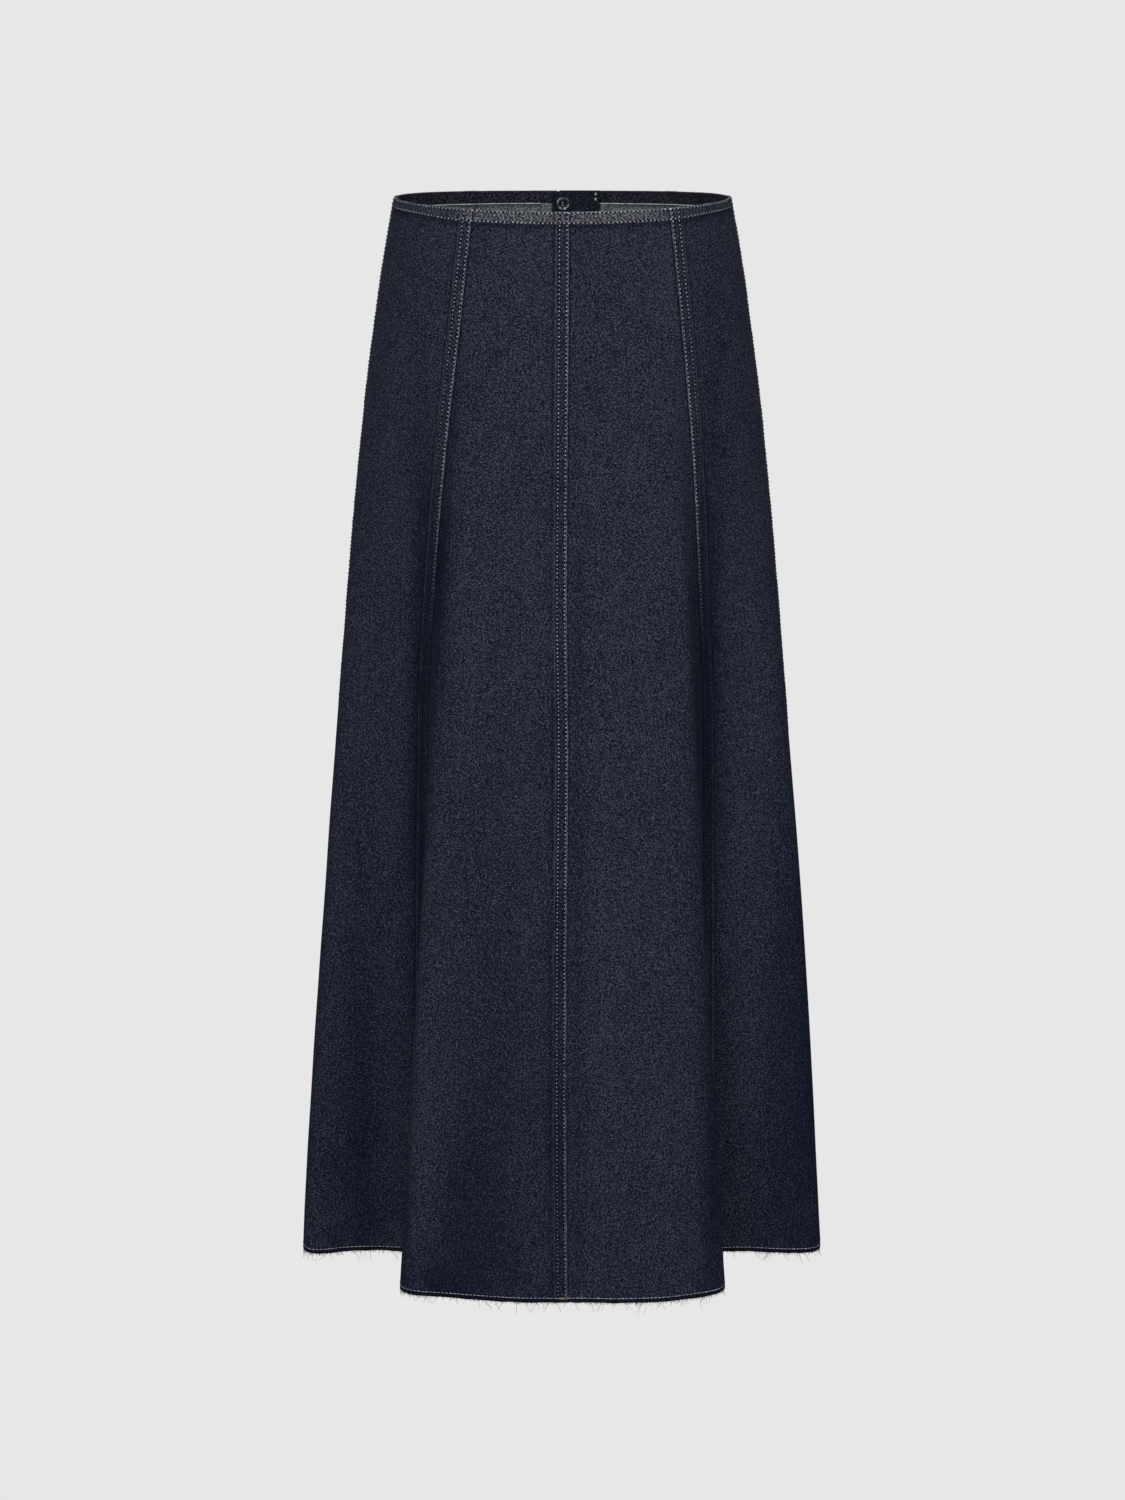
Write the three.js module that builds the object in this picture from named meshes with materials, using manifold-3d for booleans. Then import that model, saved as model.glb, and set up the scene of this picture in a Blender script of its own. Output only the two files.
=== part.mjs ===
// Flared denim skirt cut in eight panels, hollow and open at waist and hem.
// Millimetres, +Z up, the front faces -Y. The origin is the centre of the waist opening.

import * as THREE from 'three';
import { mergeVertices } from 'three/addons/utils/BufferGeometryUtils.js';
import Module from 'manifold-3d';

const wasm = await Module();
wasm.setup();

// Driving sizes of the garment
const LENGTH = 924;
const TOP_DIP = 3.4; // the top edge is this much lower at the front and back than at the sides
const TOP_DIP_FADE = 60; // and the dip has gone this far down
const CLOTH = 1.3;
const GAP = 0.3;
const FELL_WIDTH = 11;
const FELL_SLOPE = 1.6;
const FELL_RISE = 0.9;
const FACING = { depth: 11, cloth: 0.9, fromBack: 14.3 };
const WAIST = { halfWidth: 142.5, halfDepth: 97 };
const CENTRE_FRONT_X = 5.4; // the worn skirt is turned a little, so its front seam is off centre

// Zip in the centre-back seam
const ZIP = {
  length: 180, openingHalf: 4.6, closeOver: 8, teethHalf: 2.3, teethInset: 0.5,
  tapeTop: 1, tapeWidth: 14, tapeCloth: 0.8,
};
const SLIDER = { width: 8.4, height: 10, plate: 1.2, backPlate: 0.6, lap: 0.1, topDepth: 7, aboveTeeth: 1.5 };
const BRIDGE = { width: 1.6, height: 2.7, length: 8, bar: 0.8, sunk: 0.4, hingeOut: 1.25 };
const TAB = { width: 5.2, tipWidth: 4.2, length: 22, thick: 1, windowWidth: 3, windowEnd: 4.8, lean: 4.5 };
const BOTTOM_STOP = { width: 3.6, height: 2.4, thick: 2.2, below: 0.5 };
const GUARD = { left: 8.3, right: 33, length: 188, cloth: 1.5, corner: 6, inset: 3.6, columns: 6 };
const BUTTON = {
  radius: 5.75, thick: 2.6, rim: 0.9, base: 0.9, rounding: 0.5, wellSlope: 0.7, wellDepth: 0.9,
  holeRadius: 0.8, holeOut: 1.5, turns: 28, holeTurns: 10, depth: 10.7, x: 0.4,
};

// Frayed hem
const FRAY = {
  strip: 2, cloth: 1, strands: 31, rootRadius: 0.28, bendRadius: 0.21, short: 5, long: 17, sway: 4, jitter: 0.4,
};

// Section sizes down the skirt; flute runs from 0, an oval, to 1, the waved section of the hem
const LEVELS = [
  { depth: 0, halfWidth: WAIST.halfWidth, halfDepth: WAIST.halfDepth, flute: 0 },
  { depth: 45, halfWidth: 151.2, halfDepth: 103, flute: 0 },
  { depth: 105, halfWidth: 160.6, halfDepth: 110, flute: 0.02 },
  { depth: 173, halfWidth: 170, halfDepth: 118, flute: 0.08 },
  { depth: 276, halfWidth: 181.5, halfDepth: 127, flute: 0.24 },
  { depth: 416, halfWidth: 194.6, halfDepth: 136, flute: 0.47 },
  { depth: 592, halfWidth: 209.5, halfDepth: 144, flute: 0.7 },
  { depth: 771, halfWidth: 223.2, halfDepth: 150, flute: 0.87 },
  { depth: LENGTH, halfWidth: 233, halfDepth: 155, flute: 1 },
];

// How far out the two princess seams lie, front and back alike
const PRINCESS_SEAMS = [
  { depth: 0, left: 74.5, right: 89 },
  { depth: 100, left: 85.5, right: 99.5 },
  { depth: 210, left: 98.5, right: 109.5 },
  { depth: 330, left: 109, right: 116 },
  { depth: 440, left: 115, right: 120.5 },
  { depth: LENGTH, left: 122, right: 125 },
];

// Points of the hem's section within each panel. Share is the place between the panel's
// seams on the oval above; x is counted outwards on each side, y backwards.
const HEM_SHAPE = {
  centreFrontSeam: { y: -201 },
  centreFront: [
    { share: 0.3, rightX: 60, rightY: -201, leftX: 50, leftY: -200 },
    { share: 0.6, rightX: 103, rightY: -195, leftX: 90, leftY: -194 },
    { share: 0.84, rightX: 138, rightY: -177, leftX: 138, leftY: -179 },
    { share: 0.93, rightX: 138, rightY: -136, leftX: 138, leftY: -138 },
  ],
  frontPrincess: { y: -90 },
  sideFront: [
    { share: 0.28, rightX: 153, rightY: -82, leftX: 153, leftY: -80 },
    { share: 0.56, rightX: 193, rightY: -84, leftX: 187, leftY: -82 },
    { share: 0.82, rightX: 227, rightY: -80, leftX: 225, leftY: -84 },
  ],
  sideSeam: { x: 230, y: -24 },
  sideBack: [
    { share: 0.22, rightX: 224, rightY: 34, leftX: 226, leftY: 30 },
    { share: 0.5, rightX: 194, rightY: 62, leftX: 196, leftY: 64 },
    { share: 0.76, rightX: 156, rightY: 66, leftX: 154, leftY: 70 },
  ],
  backPrincess: { y: 82 },
  centreBack: [
    { share: 0.1, rightX: 134, rightY: 122, leftX: 132, leftY: 126 },
    { share: 0.24, rightX: 128, rightY: 164, leftX: 130, leftY: 162 },
    { share: 0.48, rightX: 92, rightY: 184, leftX: 96, leftY: 180 },
    { share: 0.74, rightX: 46, rightY: 192, leftX: 48, leftY: 190 },
  ],
  centreBackSeam: { y: 190 },
};

// Rows of points down every panel
const ROW_DEPTHS = [0, 14, 45, 85, 130, 180, 235, 295, 360, 430, 505, 580, 655, 730, 805, 870, LENGTH];
const PANEL_COLUMNS = 13;

const COLOURS = {
  denim: new THREE.MeshStandardMaterial({ color: 0x272b37, roughness: 0.95, metalness: 0 }),
  facing: new THREE.MeshStandardMaterial({ color: 0x1d1f29, roughness: 0.95, metalness: 0 }),
  fray: new THREE.MeshStandardMaterial({ color: 0x6c7076, roughness: 0.95, metalness: 0 }),
  zipTape: new THREE.MeshStandardMaterial({ color: 0x1b1d25, roughness: 0.9, metalness: 0 }),
  metal: new THREE.MeshStandardMaterial({ color: 0x8c8478, roughness: 0.35, metalness: 1 }),
  button: new THREE.MeshStandardMaterial({ color: 0x14151a, roughness: 0.25, metalness: 0 }),
};

// A smooth curve through one column of a table whose rows have a depth
function fromTable(rows, column, depth) {
  const last = rows.length - 1;
  const d = THREE.MathUtils.clamp(depth, rows[0].depth, rows[last].depth);
  let i = 0;
  while (i < last - 1 && d > rows[i + 1].depth) i += 1;
  const slope = (k) => {
    const a = rows[Math.max(k - 1, 0)];
    const b = rows[Math.min(k + 1, last)];
    return (b[column] - a[column]) / (b.depth - a.depth);
  };
  const span = rows[i + 1].depth - rows[i].depth;
  const t = (d - rows[i].depth) / span;
  const s = 1 - t;
  return rows[i][column] * s * s * (1 + 2 * t) + rows[i + 1][column] * t * t * (3 - 2 * t)
    + slope(i) * span * t * s * s - slope(i + 1) * span * t * t * s;
}

const radians = THREE.MathUtils.degToRad;
const SIDE_ANGLE = radians(90);

function marked(point) {
  point.mark = true;
  return point;
}

// The points that steer one section, from the centre front round by +X and the back.
// Marks give the places of the eight seams among them.
function sectionPoints(depth) {
  const halfWidth = fromTable(LEVELS, 'halfWidth', depth);
  const halfDepth = fromTable(LEVELS, 'halfDepth', depth);
  const flute = fromTable(LEVELS, 'flute', depth);
  const grown = halfWidth / LEVELS[LEVELS.length - 1].halfWidth;
  const blend = (angle, hemX, hemY) => new THREE.Vector3(
    (1 - flute) * halfWidth * Math.sin(angle) + flute * hemX * grown,
    -(1 - flute) * halfDepth * Math.cos(angle) + flute * hemY * grown,
    0,
  );
  const half = (side) => {
    const sign = side === 'right' ? 1 : -1;
    const seamX = fromTable(PRINCESS_SEAMS, side, depth);
    const front = Math.asin(sign * CENTRE_FRONT_X / halfWidth);
    const princess = Math.asin(seamX / halfWidth);
    const out = [];
    const panel = (points, from, to) => {
      for (const row of points) {
        out.push(blend(from + (to - from) * row.share, row[side + 'X'], row[side + 'Y']));
      }
    };
    const seam = (angle, hemX, hemY) => out.push(marked(blend(angle, hemX, hemY)));
    panel(HEM_SHAPE.centreFront, front, princess);
    seam(princess, seamX / grown, HEM_SHAPE.frontPrincess.y);
    panel(HEM_SHAPE.sideFront, princess, SIDE_ANGLE);
    seam(SIDE_ANGLE, HEM_SHAPE.sideSeam.x, HEM_SHAPE.sideSeam.y);
    panel(HEM_SHAPE.sideBack, SIDE_ANGLE, Math.PI - princess);
    seam(Math.PI - princess, seamX / grown, HEM_SHAPE.backPrincess.y);
    panel(HEM_SHAPE.centreBack, Math.PI - princess, Math.PI);
    for (const point of out) point.x *= sign;
    return out;
  };
  const frontY = -(1 - flute) * halfDepth + flute * HEM_SHAPE.centreFrontSeam.y * grown;
  const backY = (1 - flute) * halfDepth + flute * HEM_SHAPE.centreBackSeam.y * grown;
  const centreFront = marked(new THREE.Vector3(CENTRE_FRONT_X, frontY, 0));
  const centreBack = marked(new THREE.Vector3(0, backY, 0));
  return [centreFront, ...half('right'), centreBack, ...half('left').reverse()];
}

// One section as a closed line with the length along it, kept once worked out
const SAMPLES = 16;
const sections = new Map();
function sectionAt(depth) {
  if (sections.has(depth)) return sections.get(depth);
  const points = sectionPoints(depth);
  const curve = new THREE.CatmullRomCurve3(points, true, 'centripetal');
  const count = points.length * SAMPLES;
  const line = [];
  for (let i = 0; i <= count; i += 1) line.push(curve.getPoint(i === count ? 0 : i / count));
  const lengths = [0];
  for (let i = 1; i <= count; i += 1) lengths.push(lengths[i - 1] + line[i].distanceTo(line[i - 1]));
  const seams = points.map((point, i) => (point.mark ? lengths[i * SAMPLES] : -1)).filter((s) => s >= 0);
  seams.push(lengths[count]);
  const section = { line, lengths, seams, round: lengths[count] };
  sections.set(depth, section);
  return section;
}

// The point of a section at a length along it
function pointOn(section, length) {
  const s = THREE.MathUtils.euclideanModulo(length, section.round);
  let low = 0;
  let high = section.lengths.length - 1;
  while (high - low > 1) {
    const middle = (low + high) >> 1;
    if (section.lengths[middle] <= s) low = middle;
    else high = middle;
  }
  const t = (s - section.lengths[low]) / (section.lengths[high] - section.lengths[low]);
  return section.line[low].clone().lerp(section.line[high], t);
}

// Seams in order round the skirt
const SEAM = { front: 0, frontRight: 1, right: 2, backRight: 3, back: 4, backLeft: 5, left: 6, frontLeft: 7 };

function lowered(point, depth) {
  const fade = Math.max(0, 1 - depth / TOP_DIP_FADE);
  point.z = -depth - TOP_DIP * fade * (point.y / WAIST.halfDepth) ** 2;
  return point;
}

function surface(seam, distance, depth) {
  const section = sectionAt(depth);
  return lowered(pointOn(section, section.seams[seam] + distance), depth);
}

// The way out of the cloth at a place on the skirt
const STEP = 1.5;
function outwards(seam, distance, depth) {
  const along = surface(seam, distance + STEP, depth).sub(surface(seam, distance - STEP, depth));
  const high = Math.max(depth - STEP, 0);
  const low = Math.min(depth + STEP, LENGTH);
  const up = surface(seam, distance, high).sub(surface(seam, distance, low));
  return along.cross(up).normalize();
}

// A place on the skirt, moved inwards from the outer face by inset
function place(seam, distance, depth, inset) {
  return surface(seam, distance, depth).addScaledVector(outwards(seam, distance, depth), -inset);
}

function meshOf(name, geometry, material) {
  geometry.computeVertexNormals();
  const mesh = new THREE.Mesh(geometry, material);
  mesh.name = name;
  return mesh;
}

// A closed wall from two grids of points, rows[row][column], outer face and inner face
function wall(outer, inner) {
  const rows = outer.length;
  const columns = outer[0].length;
  const at = (side, row, column) => (side * rows + row) * columns + column;
  const points = [...outer.flat(), ...inner.flat()];
  const faces = [];
  const quad = (a, b, c, d) => faces.push(a, b, c, a, c, d);
  for (let r = 0; r < rows - 1; r += 1) {
    for (let c = 0; c < columns - 1; c += 1) {
      quad(at(0, r, c), at(0, r + 1, c), at(0, r + 1, c + 1), at(0, r, c + 1));
      quad(at(1, r, c), at(1, r, c + 1), at(1, r + 1, c + 1), at(1, r + 1, c));
    }
    quad(at(0, r, 0), at(1, r, 0), at(1, r + 1, 0), at(0, r + 1, 0));
    quad(at(0, r, columns - 1), at(0, r + 1, columns - 1), at(1, r + 1, columns - 1), at(1, r, columns - 1));
  }
  for (let c = 0; c < columns - 1; c += 1) {
    quad(at(0, 0, c), at(0, 0, c + 1), at(1, 0, c + 1), at(1, 0, c));
    quad(at(0, rows - 1, c), at(1, rows - 1, c), at(1, rows - 1, c + 1), at(0, rows - 1, c + 1));
  }
  const geometry = new THREE.BufferGeometry();
  geometry.setAttribute('position', new THREE.Float32BufferAttribute(points.flatMap((p) => p.toArray()), 3));
  geometry.setIndex(faces);
  return geometry;
}

// A wall that follows the skirt: distances(depth) from a seam, and insets of both faces
function strip({ seam, depths, distances, outerInset, innerInset, top = () => 0 }) {
  const grid = (inset) => depths.map((depth) => distances(depth).map((distance) => {
    const start = top(distance);
    const last = depths[depths.length - 1];
    const shifted = start === 0 ? depth : start + (depth - depths[0]) * (last - start) / (last - depths[0]);
    return place(seam, distance, shifted, inset(distance, shifted));
  }));
  return wall(grid(outerInset), grid(innerInset));
}

function evenly(from, to, count) {
  return Array.from({ length: count }, (_, i) => from + (to - from) * i / (count - 1));
}

// Cloth panels, from one seam to the next. A fell is the seam's raised strip on that side.
const PANELS = [
  { name: 'centre_front_right', from: SEAM.front, fellStart: false, fellEnd: false },
  { name: 'side_front_right', from: SEAM.frontRight, fellStart: true, fellEnd: false },
  { name: 'side_back_right', from: SEAM.right, fellStart: true, fellEnd: true },
  { name: 'centre_back_right', from: SEAM.backRight, fellStart: false, fellEnd: false },
  { name: 'centre_back_left', from: SEAM.back, fellStart: false, fellEnd: false },
  { name: 'side_back_left', from: SEAM.backLeft, fellStart: true, fellEnd: true },
  { name: 'side_front_left', from: SEAM.left, fellStart: false, fellEnd: true },
  { name: 'centre_front_left', from: SEAM.frontLeft, fellStart: false, fellEnd: true },
];

// The cloth ends this far from a seam's middle; at the centre back it parts for the zip
function edgeAt(seam, depth) {
  if (seam !== SEAM.back) return GAP / 2;
  const closing = THREE.MathUtils.clamp((depth - ZIP.length) / ZIP.closeOver, 0, 1);
  return THREE.MathUtils.lerp(ZIP.openingHalf, GAP / 2, closing);
}

function panelWidth(panel, depth) {
  const { seams } = sectionAt(depth);
  return seams[panel.from + 1] - seams[panel.from];
}

// The back seam's zip needs rows where the cloth closes below it
function panelDepths(panel) {
  const besideZip = panel.from === SEAM.back || panel.from + 1 === SEAM.back;
  if (!besideZip) return ROW_DEPTHS;
  return [...ROW_DEPTHS, ZIP.length + ZIP.closeOver].sort((a, b) => a - b);
}

function panelDistances(panel, depth) {
  const width = panelWidth(panel, depth);
  const first = edgeAt(panel.from, depth);
  const last = width - edgeAt(panel.from + 1, depth);
  const start = panel.fellStart ? [first, FELL_WIDTH, FELL_WIDTH + FELL_SLOPE] : [first];
  const end = panel.fellEnd ? [last - FELL_WIDTH - FELL_SLOPE, last - FELL_WIDTH, last] : [last];
  const inside = PANEL_COLUMNS - (start.length - 1) - (end.length - 1);
  const between = evenly(start[start.length - 1], end[0], inside).slice(1, -1);
  return [...start, ...between, ...end];
}

function panelMesh(panel) {
  const raised = (distance, depth) => {
    const width = panelWidth(panel, depth);
    const onStart = panel.fellStart && distance < FELL_WIDTH + GAP;
    const onEnd = panel.fellEnd && width - distance < FELL_WIDTH + 2 * GAP;
    return onStart || onEnd ? -FELL_RISE : 0;
  };
  return meshOf(panel.name, strip({
    seam: panel.from,
    depths: panelDepths(panel),
    distances: (depth) => panelDistances(panel, depth),
    outerInset: raised,
    innerInset: () => CLOTH,
  }), COLOURS.denim);
}

// Facing turned inside the top edge, in two halves from the front seam to the zip
const FACING_COLUMNS = 25;
function facingMesh(name, from, direction) {
  const distances = (depth) => {
    const { seams, round } = sectionAt(depth);
    const reach = direction > 0 ? seams[SEAM.back] : round - seams[SEAM.back];
    const list = evenly(GAP / 2, reach - FACING.fromBack, FACING_COLUMNS);
    return direction > 0 ? list : list.map((d) => -d).reverse();
  };
  return meshOf(name, strip({
    seam: from,
    depths: [0, FACING.depth],
    distances,
    outerInset: () => CLOTH + GAP,
    innerInset: () => CLOTH + GAP + FACING.cloth,
  }), COLOURS.facing);
}

// Both tapes and both rows of teeth, at the back seam; side 1 is towards -X
const ZIP_ROWS = [SLIDER.topDepth + SLIDER.height + SLIDER.aboveTeeth, 60, 110, 150, ZIP.length];
function zipStrip(name, side, from, to, outerInset, innerInset, depths, material) {
  const list = side > 0 ? [from, to] : [-to, -from];
  return meshOf(name, strip({
    seam: SEAM.back,
    depths,
    distances: () => list,
    outerInset: () => outerInset,
    innerInset: () => innerInset,
  }), material);
}

function zipMeshes() {
  const tapeTop = CLOTH + GAP;
  const tapeDepths = [ZIP.tapeTop, ...ZIP_ROWS];
  const parts = [];
  for (const [word, side] of [['left', 1], ['right', -1]]) {
    parts.push(zipStrip('zip_tape_' + word, side, ZIP.teethHalf + GAP, ZIP.tapeWidth,
      tapeTop, tapeTop + ZIP.tapeCloth, tapeDepths, COLOURS.zipTape));
    parts.push(zipStrip('zip_teeth_' + word, side, GAP / 2, ZIP.teethHalf,
      ZIP.teethInset, tapeTop + ZIP.tapeCloth, ZIP_ROWS, COLOURS.metal));
  }
  return parts;
}

// Guard behind the top of the zip, with one rounded corner
const GUARD_ROWS = [0, 20, 60, 110, 150, GUARD.length];
const CORNER_SHARES = [0.4, 0.15, 0.03];
function guardMesh() {
  const corner = (distance) => {
    const toEdge = GUARD.left - distance;
    if (toEdge >= GUARD.corner) return 0;
    return GUARD.corner - Math.sqrt(GUARD.corner ** 2 - (GUARD.corner - toEdge) ** 2);
  };
  const rounded = CORNER_SHARES.map((share) => GUARD.left - GUARD.corner * share);
  const straight = evenly(-GUARD.right, GUARD.left - GUARD.corner, GUARD.columns);
  const across = [...straight, ...rounded, GUARD.left];
  return meshOf('zip_guard', strip({
    seam: SEAM.back,
    depths: GUARD_ROWS,
    distances: () => across,
    outerInset: () => GUARD.inset,
    innerInset: () => GUARD.inset + GUARD.cloth,
    top: corner,
  }), COLOURS.denim);
}

// Solids joined and cut as exact bodies
function solid(geometry) {
  const bare = geometry.clone();
  bare.deleteAttribute('normal');
  bare.deleteAttribute('uv');
  const merged = mergeVertices(bare, 1e-4);
  return new wasm.Manifold(new wasm.Mesh({
    numProp: 3,
    vertProperties: new Float32Array(merged.attributes.position.array),
    triVerts: new Uint32Array(merged.index.array),
  }));
}

function geometryOf(body) {
  const mesh = body.getMesh();
  const geometry = new THREE.BufferGeometry();
  geometry.setAttribute('position', new THREE.BufferAttribute(new Float32Array(mesh.vertProperties), 3));
  geometry.setIndex(new THREE.BufferAttribute(new Uint32Array(mesh.triVerts), 1));
  return geometry;
}

const box = (x, y, z, cx, cy, cz) => new THREE.BoxGeometry(x, y, z).translate(cx, cy, cz);

// A frame on the back of the skirt: x is +X, y out of the cloth, z up along it
function backFrame(x, depth, inset) {
  const out = outwards(SEAM.back, -x, depth);
  const slope = Math.atan2(out.z, out.y);
  const origin = place(SEAM.back, -x, depth, inset);
  return new THREE.Matrix4().makeRotationX(slope).setPosition(x, origin.y, origin.z);
}

// Slider with a lengthwise bridge; y = 0 is the outer face of the cloth
function sliderGeometry() {
  const { width, height, plate, backPlate, lap } = SLIDER;
  const coreIn = CLOTH + GAP + ZIP.tapeCloth + GAP;
  const shapes = [
    box(width, plate, height, 0, plate / 2, 0),
    box(2 * ZIP.teethHalf, coreIn + plate, height, 0, (plate - coreIn) / 2 - lap, 0),
    box(width, backPlate, height, 0, -coreIn - backPlate / 2, 0),
  ];
  const top = plate + BRIDGE.height;
  const leg = BRIDGE.height + BRIDGE.sunk;
  for (const end of [-1, 1]) {
    const z = end * (BRIDGE.length - BRIDGE.bar) / 2;
    shapes.push(box(BRIDGE.width, leg, BRIDGE.bar, 0, top - leg / 2, z));
  }
  shapes.push(box(BRIDGE.width, BRIDGE.bar, BRIDGE.length, 0, top - BRIDGE.bar / 2, 0));
  return geometryOf(shapes.map(solid).reduce((a, b) => a.add(b)));
}

// Pull tab, hanging from the bar above its window; the bar's middle is the hinge
function tabGeometry() {
  const half = TAB.width / 2;
  const tip = TAB.tipWidth / 2;
  const barHalf = TAB.thick / 2;
  const outline = new THREE.Shape();
  outline.moveTo(-half, barHalf);
  outline.lineTo(-tip, -TAB.length + tip);
  outline.absarc(0, -TAB.length + tip, tip, Math.PI, 2 * Math.PI, false);
  outline.lineTo(half, barHalf);
  outline.closePath();
  const opening = new THREE.Path();
  const w = TAB.windowWidth / 2;
  opening.moveTo(-w, -barHalf);
  opening.lineTo(w, -barHalf);
  opening.lineTo(w, -TAB.windowEnd);
  opening.lineTo(-w, -TAB.windowEnd);
  opening.closePath();
  outline.holes.push(opening);
  const options = { depth: TAB.thick, bevelEnabled: false, curveSegments: 8 };
  return new THREE.ExtrudeGeometry(outline, options)
    .translate(0, 0, -TAB.thick / 2)
    .rotateX(Math.PI / 2);
}

function placed(name, geometry, material, matrix) {
  const mesh = meshOf(name, geometry, material);
  mesh.applyMatrix4(matrix);
  return mesh;
}

const sliderMiddle = SLIDER.topDepth + SLIDER.height / 2;
const sliderFrame = backFrame(0, sliderMiddle, 0);
const HINGE_OUT = SLIDER.plate + BRIDGE.hingeOut;

function pullTabMesh() {
  const hinge = new THREE.Matrix4().makeTranslation(0, HINGE_OUT, 0);
  const lean = new THREE.Matrix4().makeRotationX(-radians(TAB.lean));
  const matrix = sliderFrame.clone().multiply(hinge).multiply(lean);
  return placed('pull_tab', tabGeometry(), COLOURS.metal, matrix);
}

function bottomStopMesh() {
  const { width, height, thick, below } = BOTTOM_STOP;
  const frame = backFrame(0, ZIP.length + below + height / 2, CLOTH);
  return placed('zip_bottom_stop', new THREE.BoxGeometry(width, thick, height), COLOURS.metal, frame);
}

// Sewn button with a rim and four holes, its face turned into the skirt
function buttonMesh() {
  const { radius, thick, rim, base, rounding, wellSlope, wellDepth } = BUTTON;
  const profile = [
    [0, 0], [radius - base, 0], [radius, base], [radius, thick - rounding], [radius - rounding, thick],
    [radius - rim, thick], [radius - rim - wellSlope, thick - wellDepth], [0, thick - wellDepth],
  ].map(([r, y]) => new THREE.Vector2(r, y));
  let body = solid(new THREE.LatheGeometry(profile, BUTTON.turns));
  for (let i = 0; i < 4; i += 1) {
    const angle = Math.PI / 4 + i * Math.PI / 2;
    const hole = new THREE.CylinderGeometry(BUTTON.holeRadius, BUTTON.holeRadius, 3 * thick, BUTTON.holeTurns);
    hole.translate(BUTTON.holeOut * Math.cos(angle), thick / 2, BUTTON.holeOut * Math.sin(angle));
    body = body.subtract(solid(hole));
  }
  const frame = backFrame(BUTTON.x, BUTTON.depth, GUARD.inset + GUARD.cloth + GAP);
  const turned = new THREE.Matrix4().makeRotationX(Math.PI);
  return placed('waist_button', geometryOf(body), COLOURS.button, frame.multiply(turned));
}

// A repeatable stand-in for chance
const CHANCE_FACTOR = 16807;
const CHANCE_MODULUS = 2147483647;
function chance(seed) {
  let state = seed;
  return () => {
    state = (state * CHANCE_FACTOR) % CHANCE_MODULUS;
    return state / CHANCE_MODULUS;
  };
}

// One loose thread: three-sided, bent once, ending in a point
function strand(root, mid, end, out) {
  const ring = (centre, size) => [0, 1, 2].map((k) => {
    const angle = k * 2 * Math.PI / 3;
    const sideways = new THREE.Vector3(out.y, -out.x, 0).multiplyScalar(Math.cos(angle) * size);
    return centre.clone().add(sideways).addScaledVector(out, Math.sin(angle) * size);
  });
  const points = [...ring(root, FRAY.rootRadius), ...ring(mid, FRAY.bendRadius), end];
  const faces = [0, 1, 2];
  for (let k = 0; k < 3; k += 1) {
    const next = (k + 1) % 3;
    faces.push(k, k + 3, next, next, k + 3, next + 3, k + 3, 6, next + 3);
  }
  const geometry = new THREE.BufferGeometry();
  geometry.setAttribute('position', new THREE.Float32BufferAttribute(points.flatMap((p) => p.toArray()), 3));
  geometry.setIndex(faces);
  return geometry;
}

// The frayed edge below one panel: a narrow strip and its loose threads
function frayMesh(panel, index) {
  const width = panelWidth(panel, LENGTH);
  const random = chance(11 + 37 * index);
  const inset = (CLOTH - FRAY.cloth) / 2;
  const band = (drop, side) => evenly(GAP, width - GAP, PANEL_COLUMNS).map((d) => {
    const point = place(panel.from, d, LENGTH, side);
    point.z = -LENGTH - drop;
    return point;
  });
  const layer = (side) => [band(GAP, side), band(GAP + FRAY.strip, side)];
  let body = solid(wall(layer(inset), layer(inset + FRAY.cloth)));
  const spine = band(GAP + FRAY.strip / 2, CLOTH / 2);
  for (let i = 0; i < FRAY.strands; i += 1) {
    const shift = (1 - FRAY.jitter) / 2 + FRAY.jitter * random();
    const at = (spine.length - 1) * (i + shift) / FRAY.strands;
    const length = FRAY.short + (FRAY.long - FRAY.short) * random() ** 2;
    const before = Math.floor(at);
    const along = spine[before + 1].clone().sub(spine[before]).normalize();
    const out = new THREE.Vector3(along.y, -along.x, 0);
    const root = spine[before].clone().lerp(spine[before + 1], at - before);
    const sway = () => (random() - 0.5) * FRAY.sway * length / FRAY.long;
    const mid = root.clone().addScaledVector(along, sway()).addScaledVector(out, sway() / 2);
    mid.z = root.z - length * 0.5;
    const end = mid.clone().addScaledVector(along, 2 * sway()).addScaledVector(out, sway());
    end.z = root.z - length;
    body = body.add(solid(strand(root, mid, end, out)));
  }
  return meshOf('fray_' + panel.name, geometryOf(body), COLOURS.fray);
}

const skirt = new THREE.Group();
for (const panel of PANELS) skirt.add(panelMesh(panel));
skirt.add(facingMesh('facing_right', SEAM.front, 1));
skirt.add(facingMesh('facing_left', SEAM.front, -1));
for (const part of zipMeshes()) skirt.add(part);
skirt.add(placed('zip_slider', sliderGeometry(), COLOURS.metal, sliderFrame));
skirt.add(pullTabMesh(), bottomStopMesh(), guardMesh(), buttonMesh());
PANELS.forEach((panel, index) => skirt.add(frayMesh(panel, index)));

export default skirt;
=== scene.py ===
"""Dresses the flared denim skirt: twill cloth, felled seams, sewing, zip, button and frayed hem."""

import math

import bmesh
import bpy
import numpy as np
from mathutils import Matrix, Vector


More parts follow.
